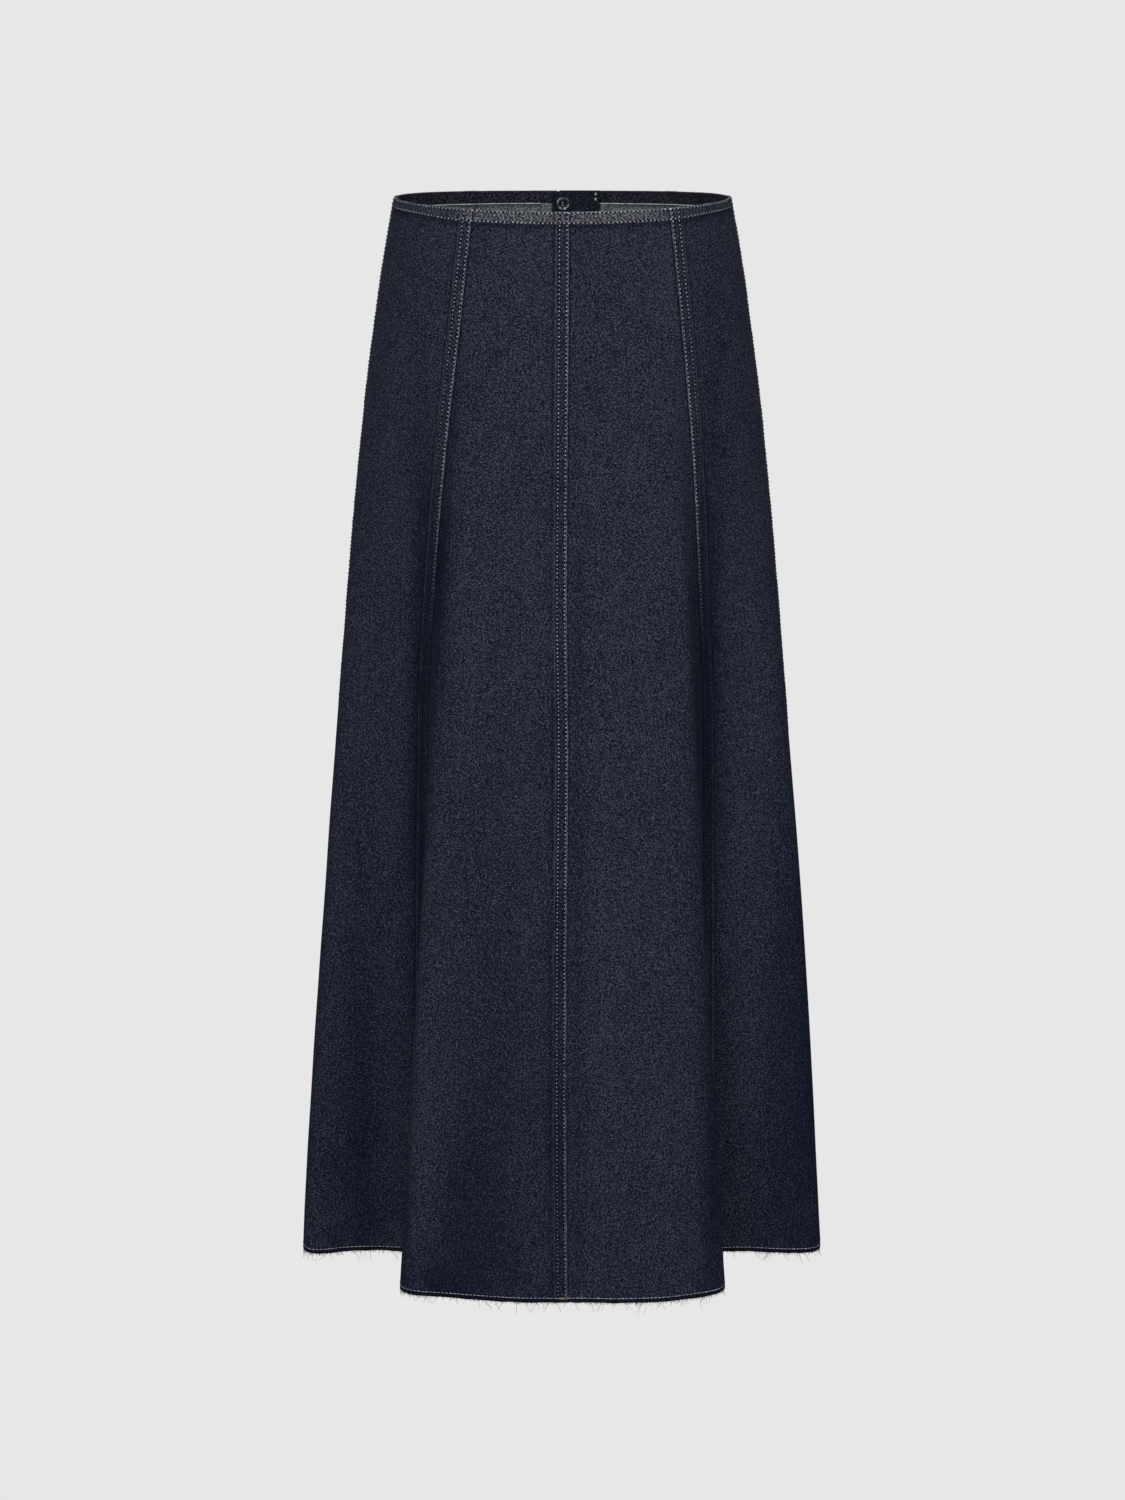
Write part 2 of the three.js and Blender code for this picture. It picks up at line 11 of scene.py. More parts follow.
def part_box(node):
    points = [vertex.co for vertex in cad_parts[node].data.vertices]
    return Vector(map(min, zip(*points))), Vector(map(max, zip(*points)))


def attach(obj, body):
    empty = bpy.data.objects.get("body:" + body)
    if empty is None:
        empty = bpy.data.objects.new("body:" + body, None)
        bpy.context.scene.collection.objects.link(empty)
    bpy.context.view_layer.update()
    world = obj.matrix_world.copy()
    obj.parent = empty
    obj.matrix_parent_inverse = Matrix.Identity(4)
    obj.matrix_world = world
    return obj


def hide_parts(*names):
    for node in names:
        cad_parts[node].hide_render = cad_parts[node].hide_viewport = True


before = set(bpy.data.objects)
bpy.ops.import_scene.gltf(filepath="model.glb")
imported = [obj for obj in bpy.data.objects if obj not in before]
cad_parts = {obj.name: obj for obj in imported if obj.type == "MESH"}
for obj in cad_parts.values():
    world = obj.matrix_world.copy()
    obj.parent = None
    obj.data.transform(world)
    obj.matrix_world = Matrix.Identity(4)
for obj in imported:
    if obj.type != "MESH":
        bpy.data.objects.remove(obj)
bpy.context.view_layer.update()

MM = 0.001
BODY = "skirt"

# The skirt's own sizes, in millimetres, as the solids have them
LENGTH = -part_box("centre_front_right")[0][2] / MM
TOP_DIP = 3.4
TOP_DIP_FADE = 60.0
WAIST_HALF_DEPTH = 97.0
CENTRE_FRONT_X = 5.4
FELL_WIDTH = 11.0
FELL_SLOPE = 1.4
FELL_RISE = 0.9
CLOTH = 1.2
SEAM_GAP = -0.03
ZIP_LENGTH = 180.0
ZIP_CLOSE_OVER = 8.0
ZIP_OPENING_HALF = 4.6

LEVEL_COLUMNS = ("depth", "half_width", "half_depth", "flute")
LEVELS = (
    (0, 142.5, 97, 0),
    (45, 151.2, 103, 0),
    (105, 160.6, 110, 0.02),
    (173, 170, 118, 0.08),
    (276, 181.5, 127, 0.24),
    (416, 194.6, 136, 0.47),
    (592, 209.5, 144, 0.7),
    (771, 223.2, 150, 0.87),
    (LENGTH, 233, 155, 1),
)
PRINCESS_COLUMNS = ("depth", "left", "right")
PRINCESS_SEAMS = (
    (0, 74.5, 89),
    (100, 85.5, 99.5),
    (210, 98.5, 109.5),
    (330, 109, 116),
    (440, 115, 120.5),
    (LENGTH, 122, 125),
)
# Within each panel of the hem's section: share between its seams, then right x, y and left x, y
CENTRE_FRONT_SHAPE = (
    (0.3, 60, -201, 50, -200),
    (0.6, 103, -195, 90, -194),
    (0.84, 138, -177, 138, -179),
    (0.93, 138, -136, 138, -138),
)
SIDE_FRONT_SHAPE = (
    (0.28, 153, -82, 153, -80),
    (0.56, 193, -84, 187, -82),
    (0.82, 227, -80, 225, -84),
)
SIDE_BACK_SHAPE = (
    (0.22, 224, 34, 226, 30),
    (0.5, 194, 62, 196, 64),
    (0.76, 156, 66, 154, 70),
)
CENTRE_BACK_SHAPE = (
    (0.1, 134, 122, 132, 126),
    (0.24, 128, 164, 130, 162),
    (0.48, 92, 184, 96, 180),
    (0.74, 46, 192, 48, 190),
)
FRONT_Y, FRONT_PRINCESS_Y, BACK_PRINCESS_Y, BACK_Y = -201, -90, 82, 190
SIDE_SEAM_HEM = (230, -24)

SEAM_FRONT, SEAM_FRONT_RIGHT, SEAM_RIGHT, SEAM_BACK_RIGHT = 0, 1, 2, 3
SEAM_BACK, SEAM_BACK_LEFT, SEAM_LEFT, SEAM_FRONT_LEFT = 4, 5, 6, 7

# name, seam it starts at, felled strip at its start, felled strip at its end
PANELS = (
    ("centre_front_right", SEAM_FRONT, False, False),
    ("side_front_right", SEAM_FRONT_RIGHT, True, False),
    ("side_back_right", SEAM_RIGHT, True, True),
    ("centre_back_right", SEAM_BACK_RIGHT, False, False),
    ("centre_back_left", SEAM_BACK, False, False),
    ("side_back_left", SEAM_BACK_LEFT, True, True),
    ("side_front_left", SEAM_LEFT, False, True),
    ("centre_front_left", SEAM_FRONT_LEFT, False, True),
)


def from_table(rows, column, depth):
    """A smooth curve through one column of a table whose first column is the depth."""
    last = len(rows) - 1
    d = min(max(depth, rows[0][0]), rows[last][0])
    i = 0
    while i < last - 1 and d > rows[i + 1][0]:
        i += 1

    def slope(k):
        a, b = rows[max(k - 1, 0)], rows[min(k + 1, last)]
        return (b[column] - a[column]) / (b[0] - a[0])

    span = rows[i + 1][0] - rows[i][0]
    t = (d - rows[i][0]) / span
    s = 1 - t
    ends = rows[i][column] * s * s * (1 + 2 * t) + rows[i + 1][column] * t * t * (3 - 2 * t)
    return ends + slope(i) * span * t * s * s - slope(i + 1) * span * t * t * s


def section_points(depth):
    """The points that steer one section, from the centre front round by +X, and which are seams."""
    half_width = from_table(LEVELS, LEVEL_COLUMNS.index("half_width"), depth)
    half_depth = from_table(LEVELS, LEVEL_COLUMNS.index("half_depth"), depth)
    flute = from_table(LEVELS, LEVEL_COLUMNS.index("flute"), depth)
    grown = half_width / LEVELS[-1][1]

    def blend(angle, hem_x, hem_y):
        return (
            (1 - flute) * half_width * math.sin(angle) + flute * hem_x * grown,
            -(1 - flute) * half_depth * math.cos(angle) + flute * hem_y * grown,
        )

    def half(side):
        sign, at = (1, 1) if side == "right" else (-1, 3)
        seam_x = from_table(PRINCESS_SEAMS, PRINCESS_COLUMNS.index(side), depth)
        front = math.asin(sign * CENTRE_FRONT_X / half_width)
        princess = math.asin(seam_x / half_width)
        out = []

        def panel(rows, start, end):
            for row in rows:
                out.append((*blend(start + (end - start) * row[0], row[at], row[at + 1]), False))

        def seam(angle, hem_x, hem_y):
            out.append((*blend(angle, hem_x, hem_y), True))

        panel(CENTRE_FRONT_SHAPE, front, princess)
        seam(princess, seam_x / grown, FRONT_PRINCESS_Y)
        panel(SIDE_FRONT_SHAPE, princess, math.pi / 2)
        seam(math.pi / 2, *SIDE_SEAM_HEM)
        panel(SIDE_BACK_SHAPE, math.pi / 2, math.pi - princess)
        seam(math.pi - princess, seam_x / grown, BACK_PRINCESS_Y)
        panel(CENTRE_BACK_SHAPE, math.pi - princess, math.pi)
        return [(sign * x, y, mark) for x, y, mark in out]

    front_y = -(1 - flute) * half_depth + flute * FRONT_Y * grown
    back_y = (1 - flute) * half_depth + flute * BACK_Y * grown
    rows = [(CENTRE_FRONT_X, front_y, True), *half("right"), (0, back_y, True), *half("left")[::-1]]
    return np.array([row[:2] for row in rows]), [i for i, row in enumerate(rows) if row[2]]


SAMPLES = 16
kept_sections = {}


def section_at(depth):
    """One section as a closed line, the length along it and the lengths of its nine seam marks."""
    key = round(float(depth), 3)
    if key in kept_sections:
        return kept_sections[key]
    points, marks = section_points(key)
    before, after, beyond = (np.roll(points, k, axis=0) for k in (1, -1, -2))
    gaps = [
        np.sqrt(np.linalg.norm(b - a, axis=1))[:, None]
        for a, b in ((before, points), (points, after), (after, beyond))
    ]
    t1 = (points - before) / gaps[0] - (after - before) / (gaps[0] + gaps[1]) + (after - points) / gaps[1]
    t2 = (after - points) / gaps[1] - (beyond - points) / (gaps[1] + gaps[2]) + (beyond - after) / gaps[2]
    t1, t2 = t1 * gaps[1], t2 * gaps[1]
    w = (np.arange(SAMPLES) / SAMPLES)[None, :, None]
    a, b = points[:, None], after[:, None]
    t1, t2 = t1[:, None], t2[:, None]
    line = a + t1 * w + (-3 * a + 3 * b - 2 * t1 - t2) * w**2 + (2 * a - 2 * b + t1 + t2) * w**3
    line = line.reshape(-1, 2)
    line = np.vstack([line, line[:1]])
    lengths = np.concatenate([[0], np.cumsum(np.linalg.norm(np.diff(line, axis=0), axis=1))])
    seams = [lengths[i * SAMPLES] for i in marks] + [lengths[-1]]
    kept_sections[key] = (line, lengths, seams)
    return kept_sections[key]


def surface(seam, distance, depth):
    """Points of the outer face at lengths along one section, counted from a seam."""
    line, lengths, seams = section_at(depth)
    s = np.mod(seams[seam] + np.asarray(distance, float), lengths[-1])
    x, y = np.interp(s, lengths, line[:, 0]), np.interp(s, lengths, line[:, 1])
    fade = max(0.0, 1 - depth / TOP_DIP_FADE)
    return np.stack([x, y, -depth - TOP_DIP * fade * (y / WAIST_HALF_DEPTH) ** 2], axis=-1)


STEP = 1.5


def outwards(seam, distance, depth):
    """The way out of the cloth at places on the skirt."""
    distance = np.asarray(distance, float)
    along = surface(seam, distance + STEP, depth) - surface(seam, distance - STEP, depth)
    high, low = max(depth - STEP, 0), min(depth + STEP, LENGTH)
    up = surface(seam, distance, high) - surface(seam, distance, low)
    out = np.cross(along, up)
    return out / np.linalg.norm(out, axis=-1, keepdims=True)


def panel_width(start, depth):
    seams = section_at(depth)[2]
    return seams[start + 1] - seams[start]


def smooth(edge_low, edge_high, value):
    t = np.clip((value - edge_low) / (edge_high - edge_low), 0, 1)
    return t * t * (3 - 2 * t)


def bell(value, centre, half):
    """1 at the centre, fading away on both sides."""
    return np.exp(-(((value - centre) / half) ** 2))


class Waver:
    """Smooth seeded unevenness over two lengths, about -1 to 1."""

    def __init__(self, seed, across, down):
        self.grid = np.random.default_rng(seed).uniform(-1, 1, (64, 256))
        self.across, self.down = across, down

    def __call__(self, x, y):
        u, v = np.asarray(x, float) / self.across, np.asarray(y, float) / self.down
        u, v = np.broadcast_arrays(u, v)
        i, j = np.floor(u).astype(int), np.floor(v).astype(int)
        a, b = smooth(0, 1, u - i), smooth(0, 1, v - j)
        g = self.grid
        rows, columns = g.shape
        pick = lambda di, dj: g[(i + di) % rows, (j + dj) % columns]
        return (pick(0, 0) * (1 - a) + pick(1, 0) * a) * (1 - b) + (pick(0, 1) * (1 - a) + pick(1, 1) * a) * b


# Sewing: rows on each felled seam, at the top edge and above the raw hem
SEAM_ROWS = (1.6, 7.7)
TOP_ROWS = (1.3, 9.8)
HEM_ROW = 4.0
ZIP_ROW = 8.8
FOLDED_EDGE = 0.5
# How deep each row of stitches sinks into the cloth, and over what half width
SEAM_SINK, ROW_SINK, HEM_SINK = 0.28, 0.22, 0.25
SINK_HALF = 0.8
# The twisted ridges along a felled strip: rise, length of one, its drift and its slant
ROPE_RISE, ROPE_PITCH, ROPE_DRIFT, ROPE_SLANT = 0.12, 11.5, 4, 0.55
# How far the front seam's folded edge wanders from the seam: depth, millimetres
FRONT_LAP = (
    (0, 0.0),
    (60, 0.3),
    (195, 1.3),
    (330, 2.2),
    (440, 0.8),
    (500, 1.2),
    (620, 2.3),
    (740, 2.6),
    (840, 2.2),
    (LENGTH, 1.4),
)

# Soft folds laid into the cloth: panel, share across, half width as a share, from depth, rise in mm
FOLDS = (
    ("centre_front_left", 0.6, 0.17, 520, -3.6),
    ("centre_front_left", 0.86, 0.1, 380, 0.8),
    ("centre_front_right", 0.26, 0.2, 420, 1.4),
    ("centre_front_right", 0.52, 0.12, 600, -1.0),
    ("side_front_left", 0.34, 0.12, 420, 1.8),
    ("side_front_left", 0.62, 0.13, 500, -1.8),
    ("side_front_right", 0.5, 0.14, 460, 1.6),
    ("side_front_right", 0.74, 0.1, 560, -1.3),
    ("side_back_right", 0.4, 0.14, 420, -2.2),
    ("side_back_right", 0.68, 0.12, 500, 1.5),
    ("side_back_left", 0.36, 0.12, 460, 1.7),
    ("side_back_left", 0.62, 0.15, 520, -2.4),
    ("centre_back_right", 0.42, 0.16, 440, -2.6),
    ("centre_back_right", 0.74, 0.12, 560, 1.4),
    ("centre_back_left", 0.3, 0.15, 480, 1.8),
    ("centre_back_left", 0.62, 0.14, 540, -2.2),
)
# Painted shade and painted light on the cloth, darker where the amount is below 0 and paler where it is
# above: panel, x and its half width, depth and its half, amount
PAINTED_SHADE_ZONES = (
    ("centre_front_left", -58, 42, 920, 400, -0.24),
    ("centre_front_left", -95, 24, 940, 150, -0.22),
    ("centre_front_left", -138, 7, 860, 240, -0.2),
    ("centre_front_left", -120, 9, 860, 280, 0.09),
    ("centre_front_left", -104, 11, 300, 140, -0.3),
    ("centre_front_left", -92, 8, 140, 60, -0.2),
    ("centre_front_left", -2, 16, 560, 420, -0.1),
    ("centre_front_left", -4, 8, 860, 260, -0.2),
    ("centre_front_left", -116, 14, 915, 40, -0.25),
    ("centre_front_right", 12, 9, 600, 420, -0.17),
    ("centre_front_right", 60, 60, 960, 260, -0.06),
    ("centre_front_right", 92, 14, 60, 45, 0.28),
    ("centre_front_right", 130, 11, 880, 330, -0.32),
    ("centre_front_right", 114, 8, 380, 260, -0.24),
    ("side_front_left", -152, 18, 90, 100, -0.02),
    ("side_front_left", -146, 12, 150, 90, 0.12),
    ("side_front_left", -184, 70, 930, 420, -0.17),
    ("side_front_left", -178, 11, 800, 300, -0.12),
    ("side_front_left", -150, 12, 780, 260, 0.1),
    ("side_front_left", -117, 12, 320, 160, -0.32),
    ("side_front_left", -124, 9, 600, 220, -0.34),
    ("side_front_right", 160, 20, 90, 180, -0.04),
    ("side_front_right", 212, 44, 820, 420, -0.34),
    ("side_front_right", 158, 12, 800, 260, 0.14),
    ("side_front_right", 124, 14, 400, 260, -0.4),
    ("side_front_right", 180, 14, 300, 110, -0.1),
    ("side_front_right", 174, 12, 420, 180, 0.12),
    ("side_back_right", 170, 30, 780, 380, -0.18),
    ("side_back_right", 205, 14, 620, 380, 0.07),
    ("side_back_left", -166, 34, 740, 420, -0.2),
    ("side_back_left", -210, 12, 640, 380, 0.06),
    ("centre_back_right", 62, 30, 820, 360, -0.2),
    ("centre_back_right", 124, 12, 700, 300, -0.18),
    ("centre_back_left", -50, 34, 760, 380, -0.22),
    ("centre_back_left", -100, 16, 560, 300, 0.06),
)
mottle = Waver(14, 19, 34)
ripple = Waver(5, 46, 210)
small_ripple = Waver(6, 17, 60)
hem_ripple = Waver(7, 24, 34)
pucker_along = Waver(8, 9, 8.5)
pucker_far = Waver(9, 14, 19)
rope_drift = Waver(10, 30, 70)
wear = Waver(12, 3, 6)
wear_long = Waver(13, 12, 60)


# Depths over which the pale edges of the princess seams fade into painted valley shade
PRINCESS_VALLEY_SHADE = (200, 370)


def worn_edge_outside_valley_shade(seam, depth):
    """How much of a seam's pale worn edge is kept: on those beside the front it is faded out down the skirt,
    as painted shade in the valleys.
    """
    princess = seam in (SEAM_FRONT_RIGHT, SEAM_FRONT_LEFT)
    return 1 - 0.95 * smooth(*PRINCESS_VALLEY_SHADE, depth) if princess else 1.0


def lap(seam, depth):
    """How far a felled seam's folded edge lies from the seam."""
    return from_table(FRONT_LAP, 1, depth) if seam == SEAM_FRONT else 0.0


def seam_sides(panel):
    """(which end, whether it carries the felled strip, seam number) for both ends of a panel."""
    _, start, fell_start, fell_end = panel
    return ((0, fell_start, start), (1, fell_end, (start + 1) % len(PANELS)))


def low_form(panel, distance, width, depth):
    """Height of the soft folds and ripples, shared by both faces of the cloth."""
    name, start = panel[:2]
    share = distance / width
    calm = smooth(0, 0.07, share) * smooth(0, 0.07, 1 - share)
    height = np.zeros_like(share)
    for fold_name, centre, half, top, rise in FOLDS:
        if fold_name == name and depth > top:
            grow = smooth(top, LENGTH, depth)
            height = height + rise * grow * bell(share, centre, half)
    about = distance + 500 * start
    loose = smooth(40, 700, depth)
    height = height + calm * (0.25 + 0.75 * loose) * 0.75 * ripple(about, depth)
    height = height + calm * 0.22 * small_ripple(about, depth)
    return height + calm * 0.55 * smooth(LENGTH - 60, LENGTH, depth) * hem_ripple(about, depth)


def mottle_and_painted_shade(panel, distance, depth, x):
    """Soft uneven blotches of tone, plus painted shade and painted light from the zones."""
    name, start = panel[:2]
    amount = 0.035 * mottle(distance + 300 * start, depth)
    for zone_name, centre, half, middle, tall, change in PAINTED_SHADE_ZONES:
        if zone_name == name:
            amount = amount + change * bell(depth, middle, tall) * bell(x, centre, half)
    return amount


BAND_WORN = (96.0, 76.0)
BAND_NARROWS = (84.0, 132.0, 2.6)


def band_row(x):
    """Depth of the lower row of the waist edge, which rises towards the sides."""
    start, end, rise = BAND_NARROWS
    return TOP_ROWS[1] - rise * smooth(start, end, np.abs(x))


def band_wear(x, depth):
    """How worn the waist edge is: most across the front and the back, hardly at the sides."""
    middle = 0.16 + 0.84 * smooth(*BAND_WORN, np.abs(x))
    return middle * smooth(0.9, 0.2, depth - band_row(x))


def relief(panel, distance, width, depth):
    """Height of the outer face, a mask for pale worn ridges, and a dark mask: painted shade along the rows of
    stitches, beside the seams and below the waist band's row, and a darker band from the hem's row to the
    edge.
    """
    start = panel[1]
    height = low_form(panel, distance, width, depth)
    pale, dark = np.zeros_like(distance), np.zeros_like(distance)
    for end, felled, seam in seam_sides(panel):
        d = distance if end == 0 else width - distance
        if seam == SEAM_BACK:
            d = d - zip_edge(depth)
        key = 1000 * seam
        over = lap(seam, depth)
        if felled:
            d = d - over
            edge = smooth(FELL_WIDTH + FELL_SLOPE, FELL_WIDTH, d)
            height = height + FELL_RISE * edge * (0.25 + 0.75 * smooth(-0.2, 1.1, d))
            turns = (depth + ROPE_DRIFT * rope_drift(key, depth)) / ROPE_PITCH
            rope = np.sin(turns * 2 * math.pi + ROPE_SLANT * d)
            height = height + ROPE_RISE * rope * edge * smooth(0, 3, d) * smooth(0, 2.5, FELL_WIDTH - d)
            for row in SEAM_ROWS:
                height = height - SEAM_SINK * bell(d, row, SINK_HALF)
                # painted shade in the groove of each row of stitches
                dark = np.maximum(dark, 0.8 * bell(d, row, 1.0))
            worn = np.clip(0.7 + 0.5 * wear(d + key, depth) + 0.3 * wear_long(key, depth), 0, 1)
            pale = np.maximum(pale, 0.9 * bell(d, FOLDED_EDGE, 0.55) * worn * worn_edge_outside_valley_shade(seam, depth))
            pale = np.maximum(pale, 0.12 * bell(d, FELL_WIDTH - 0.4, 0.7) * worn)
            # painted shadow at the seam beside the felled strip, and beyond the strip's inner edge
            dark = np.maximum(dark, 0.9 * bell(d, -0.8, 0.6))
            dark = np.maximum(dark, 0.72 * bell(d, FELL_WIDTH + 1.5, 0.9))
        elif seam == SEAM_BACK:
            height = height - ROW_SINK * bell(d, ZIP_ROW, SINK_HALF)
            worn = np.clip(0.5 + 0.5 * wear(d + key, depth), 0, 1)
            pale = np.maximum(pale, 0.5 * bell(d, FOLDED_EDGE, 0.6) * worn)
        else:
            # painted shadow beside the seam, where the neighbouring felled strip lies over it
            dark = np.maximum(dark, 0.96 * smooth(2.2 - over, 1.0 - over, d))
        far = smooth(26, 9, d) * smooth(-0.5, 3, d)
        height = height + 0.34 * far * pucker_far(d * 0.6 + key, depth + 0.5 * d)
        height = height + 0.16 * smooth(14, 8, d) * smooth(0, 3, d) * pucker_along(d + key, depth)
    below = depth - band_row(surface(start, distance, depth)[..., 0])
    height = height + 0.3 * smooth(1.8, 0.1, below)
    height = height - ROW_SINK * (bell(depth, TOP_ROWS[0], 0.9) + bell(below, 0, 0.9))
    about = distance + 400 * start
    height = height + 0.16 * smooth(30, 4, depth) * pucker_along(about, depth * 0.4)
    pale = np.maximum(pale, smooth(1.5, 0.4, depth) * np.clip(0.6 + 0.5 * wear(about, 0), 0, 1))
    pale = np.maximum(pale, 0.4 * bell(below, 0.3, 0.5) * np.clip(0.5 + 0.9 * wear(about, 20), 0, 1))
    from_hem = LENGTH - depth
    height = height - HEM_SINK * bell(from_hem, HEM_ROW, 0.9)
    # darker from the hem's row to the raw edge
    dark = np.maximum(dark, 0.9 * smooth(HEM_ROW, HEM_ROW - 0.8, from_hem))
    # painted shade just below the raised row of the waist band
    dark = np.maximum(dark, 0.62 * smooth(7, 2.4, below) * smooth(0.6, 1.4, below))
    return height, np.clip(pale, 0, 1), np.clip(dark, 0, 1)


def zip_edge(depth):
    """How far the cloth's edge stands from the middle of the back seam."""
    closing = min(max((depth - ZIP_LENGTH) / ZIP_CLOSE_OVER, 0), 1)
    return ZIP_OPENING_HALF + (SEAM_GAP - ZIP_OPENING_HALF) * closing


def edge_at(seam, depth):
    return zip_edge(depth) if seam == SEAM_BACK else SEAM_GAP


# Columns are close together beside a seam and wide apart between
NEAR = (0, 0.5, 1, 1.6, 2.4, 3.2, 4.4, 5.4, 6.6, 7.6, 8.4, 9.2, 10.2, 11, 11.6, 12.4, 13.6, 15.5, 18.5, 22.5)
BETWEEN = 22
TOP_STEPS = (0, 0.25, 0.6, 1.3, 2.2, 4, 5.6, 6.6, 7.2, 7.8, 8.6, 9.2, 9.8, 10.4, 11.2, 12.2, 13.6, 16)
HEM_STEPS = (12, 9, 7, 5.6, 4.7, 4.0, 3.3, 2.5, 1.6, 0.8, 0)
ROW_STEP = 3.6


def panel_rows():
    middle = np.arange(TOP_STEPS[-1] + ROW_STEP, LENGTH - HEM_STEPS[0] - ROW_STEP / 2, ROW_STEP)
    return [*TOP_STEPS, *middle.tolist(), *[LENGTH - step for step in HEM_STEPS]]


def panel_columns(panel, depth):
    width = panel_width(panel[1], depth)
    first, last = edge_at(panel[1], depth), width - edge_at(panel[1] + 1, depth)
    start = first + np.array(NEAR)
    end = last - np.array(NEAR)[::-1]
    between = np.linspace(start[-1], end[0], BETWEEN + 2)[1:-1]
    return np.concatenate([start, between, end]), width


def new_object(name, mesh):
    obj = bpy.data.objects.new(name, mesh)
    bpy.context.scene.collection.objects.link(obj)
    return obj


def carried(piece, node=None, body=BODY):
    """Puts a piece on its body and hides the solid that it stands for."""
    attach(piece, body)
    if node:
        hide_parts(node)
    return piece


def mesh_from(name, points, faces, smooth_shade=True):
    mesh = bpy.data.meshes.new(name)
    mesh.from_pydata([tuple(p) for p in points], [], [tuple(f) for f in faces])
    mesh.polygons.foreach_set("use_smooth", [smooth_shade] * len(mesh.polygons))
    mesh.update()
    return mesh


def grid_faces(rows, columns, first, flip):
    r, c = np.meshgrid(np.arange(rows - 1), np.arange(columns - 1), indexing="ij")
    a = first + r * columns + c
    quads = np.stack([a, a + columns, a + columns + 1, a + 1], axis=-1).reshape(-1, 4)
    return quads[:, ::-1] if flip else quads


def rim_faces(rows, columns):
    """Quads that close the four edges between an outer and an inner grid."""
    n = rows * columns
    top = np.arange(columns)
    bottom = (rows - 1) * columns + top
    left = np.arange(rows) * columns
    right = left + columns - 1
    out = []
    for line, flip in ((top, False), (bottom, True), (left, True), (right, False)):
        a, b = line[:-1], line[1:]
        quads = np.stack([a, b, b + n, a + n], axis=-1)
        out.append(quads[:, ::-1] if flip else quads)
    return np.concatenate(out)


def wall_mesh(name, outer, inner, uvs, attributes, outside, inside):
    """A closed wall from two grids of points, with the cut's flat coordinates and masks."""
    rows, columns = outer.shape[:2]
    points = np.concatenate([outer.reshape(-1, 3), inner.reshape(-1, 3)]) * MM
    n = rows * columns
    faces = np.concatenate([grid_faces(rows, columns, 0, False), grid_faces(rows, columns, n, True)])
    rim = rim_faces(rows, columns)
    mesh = bpy.data.meshes.new(name)
    every = np.concatenate([faces, rim])
    mesh.vertices.add(len(points))
    mesh.vertices.foreach_set("co", points.astype(np.float32).ravel())
    mesh.loops.add(every.size)
    mesh.loops.foreach_set("vertex_index", every.astype(np.int32).ravel())
    mesh.polygons.add(len(every))
    mesh.polygons.foreach_set("loop_start", np.arange(0, every.size, 4, dtype=np.int32))
    mesh.update(calc_edges=True)
    mesh.validate()
    mesh.polygons.foreach_set("use_smooth", [True] * len(mesh.polygons))
    flat = np.concatenate([uvs.reshape(-1, 2)] * 2) * MM
    layer = mesh.uv_layers.new(name="UVMap")
    layer.data.foreach_set("uv", flat[every.ravel()].astype(np.float32).ravel())
    for key, values in attributes.items():
        attribute = mesh.attributes.new(key, "FLOAT", "POINT")
        attribute.data.foreach_set("value", np.concatenate([values.ravel()] * 2).astype(np.float32))
    mesh.materials.append(outside)
    mesh.materials.append(inside)
    turned = np.zeros(len(every), np.int32)
    turned[len(faces) // 2 : len(faces)] = 1
    mesh.polygons.foreach_set("material_index", turned)
    mesh.update()
    return mesh


class Value:
    """A number from a shader node, so that shader maths reads as an expression."""

    def __init__(self, shade, socket):
        self.shade, self.socket = shade, socket

    def maths(self, operation, first, second=None, clamp=False):
        values = {0: first} if second is None else {0: first, 1: second}
        return self.shade.node("ShaderNodeMath", {"operation": operation, "use_clamp": clamp}, values)

    def __add__(self, other):
        return self.maths("ADD", self, other)

    def __radd__(self, other):
        return self.maths("ADD", other, self)

    def __sub__(self, other):
        return self.maths("SUBTRACT", self, other)

    def __rsub__(self, other):
        return self.maths("SUBTRACT", other, self)

    def __mul__(self, other):
        return self.maths("MULTIPLY", self, other)

    def __rmul__(self, other):
        return self.maths("MULTIPLY", other, self)

    def above(self, low, high):
        """0 below low, 1 above high."""
        return self.maths("MULTIPLY", self - low, 1 / (high - low), clamp=True)

    def wave(self):
        return self.maths("SINE", self)

    def limited(self):
        return self.maths("MULTIPLY", self, 1.0, clamp=True)


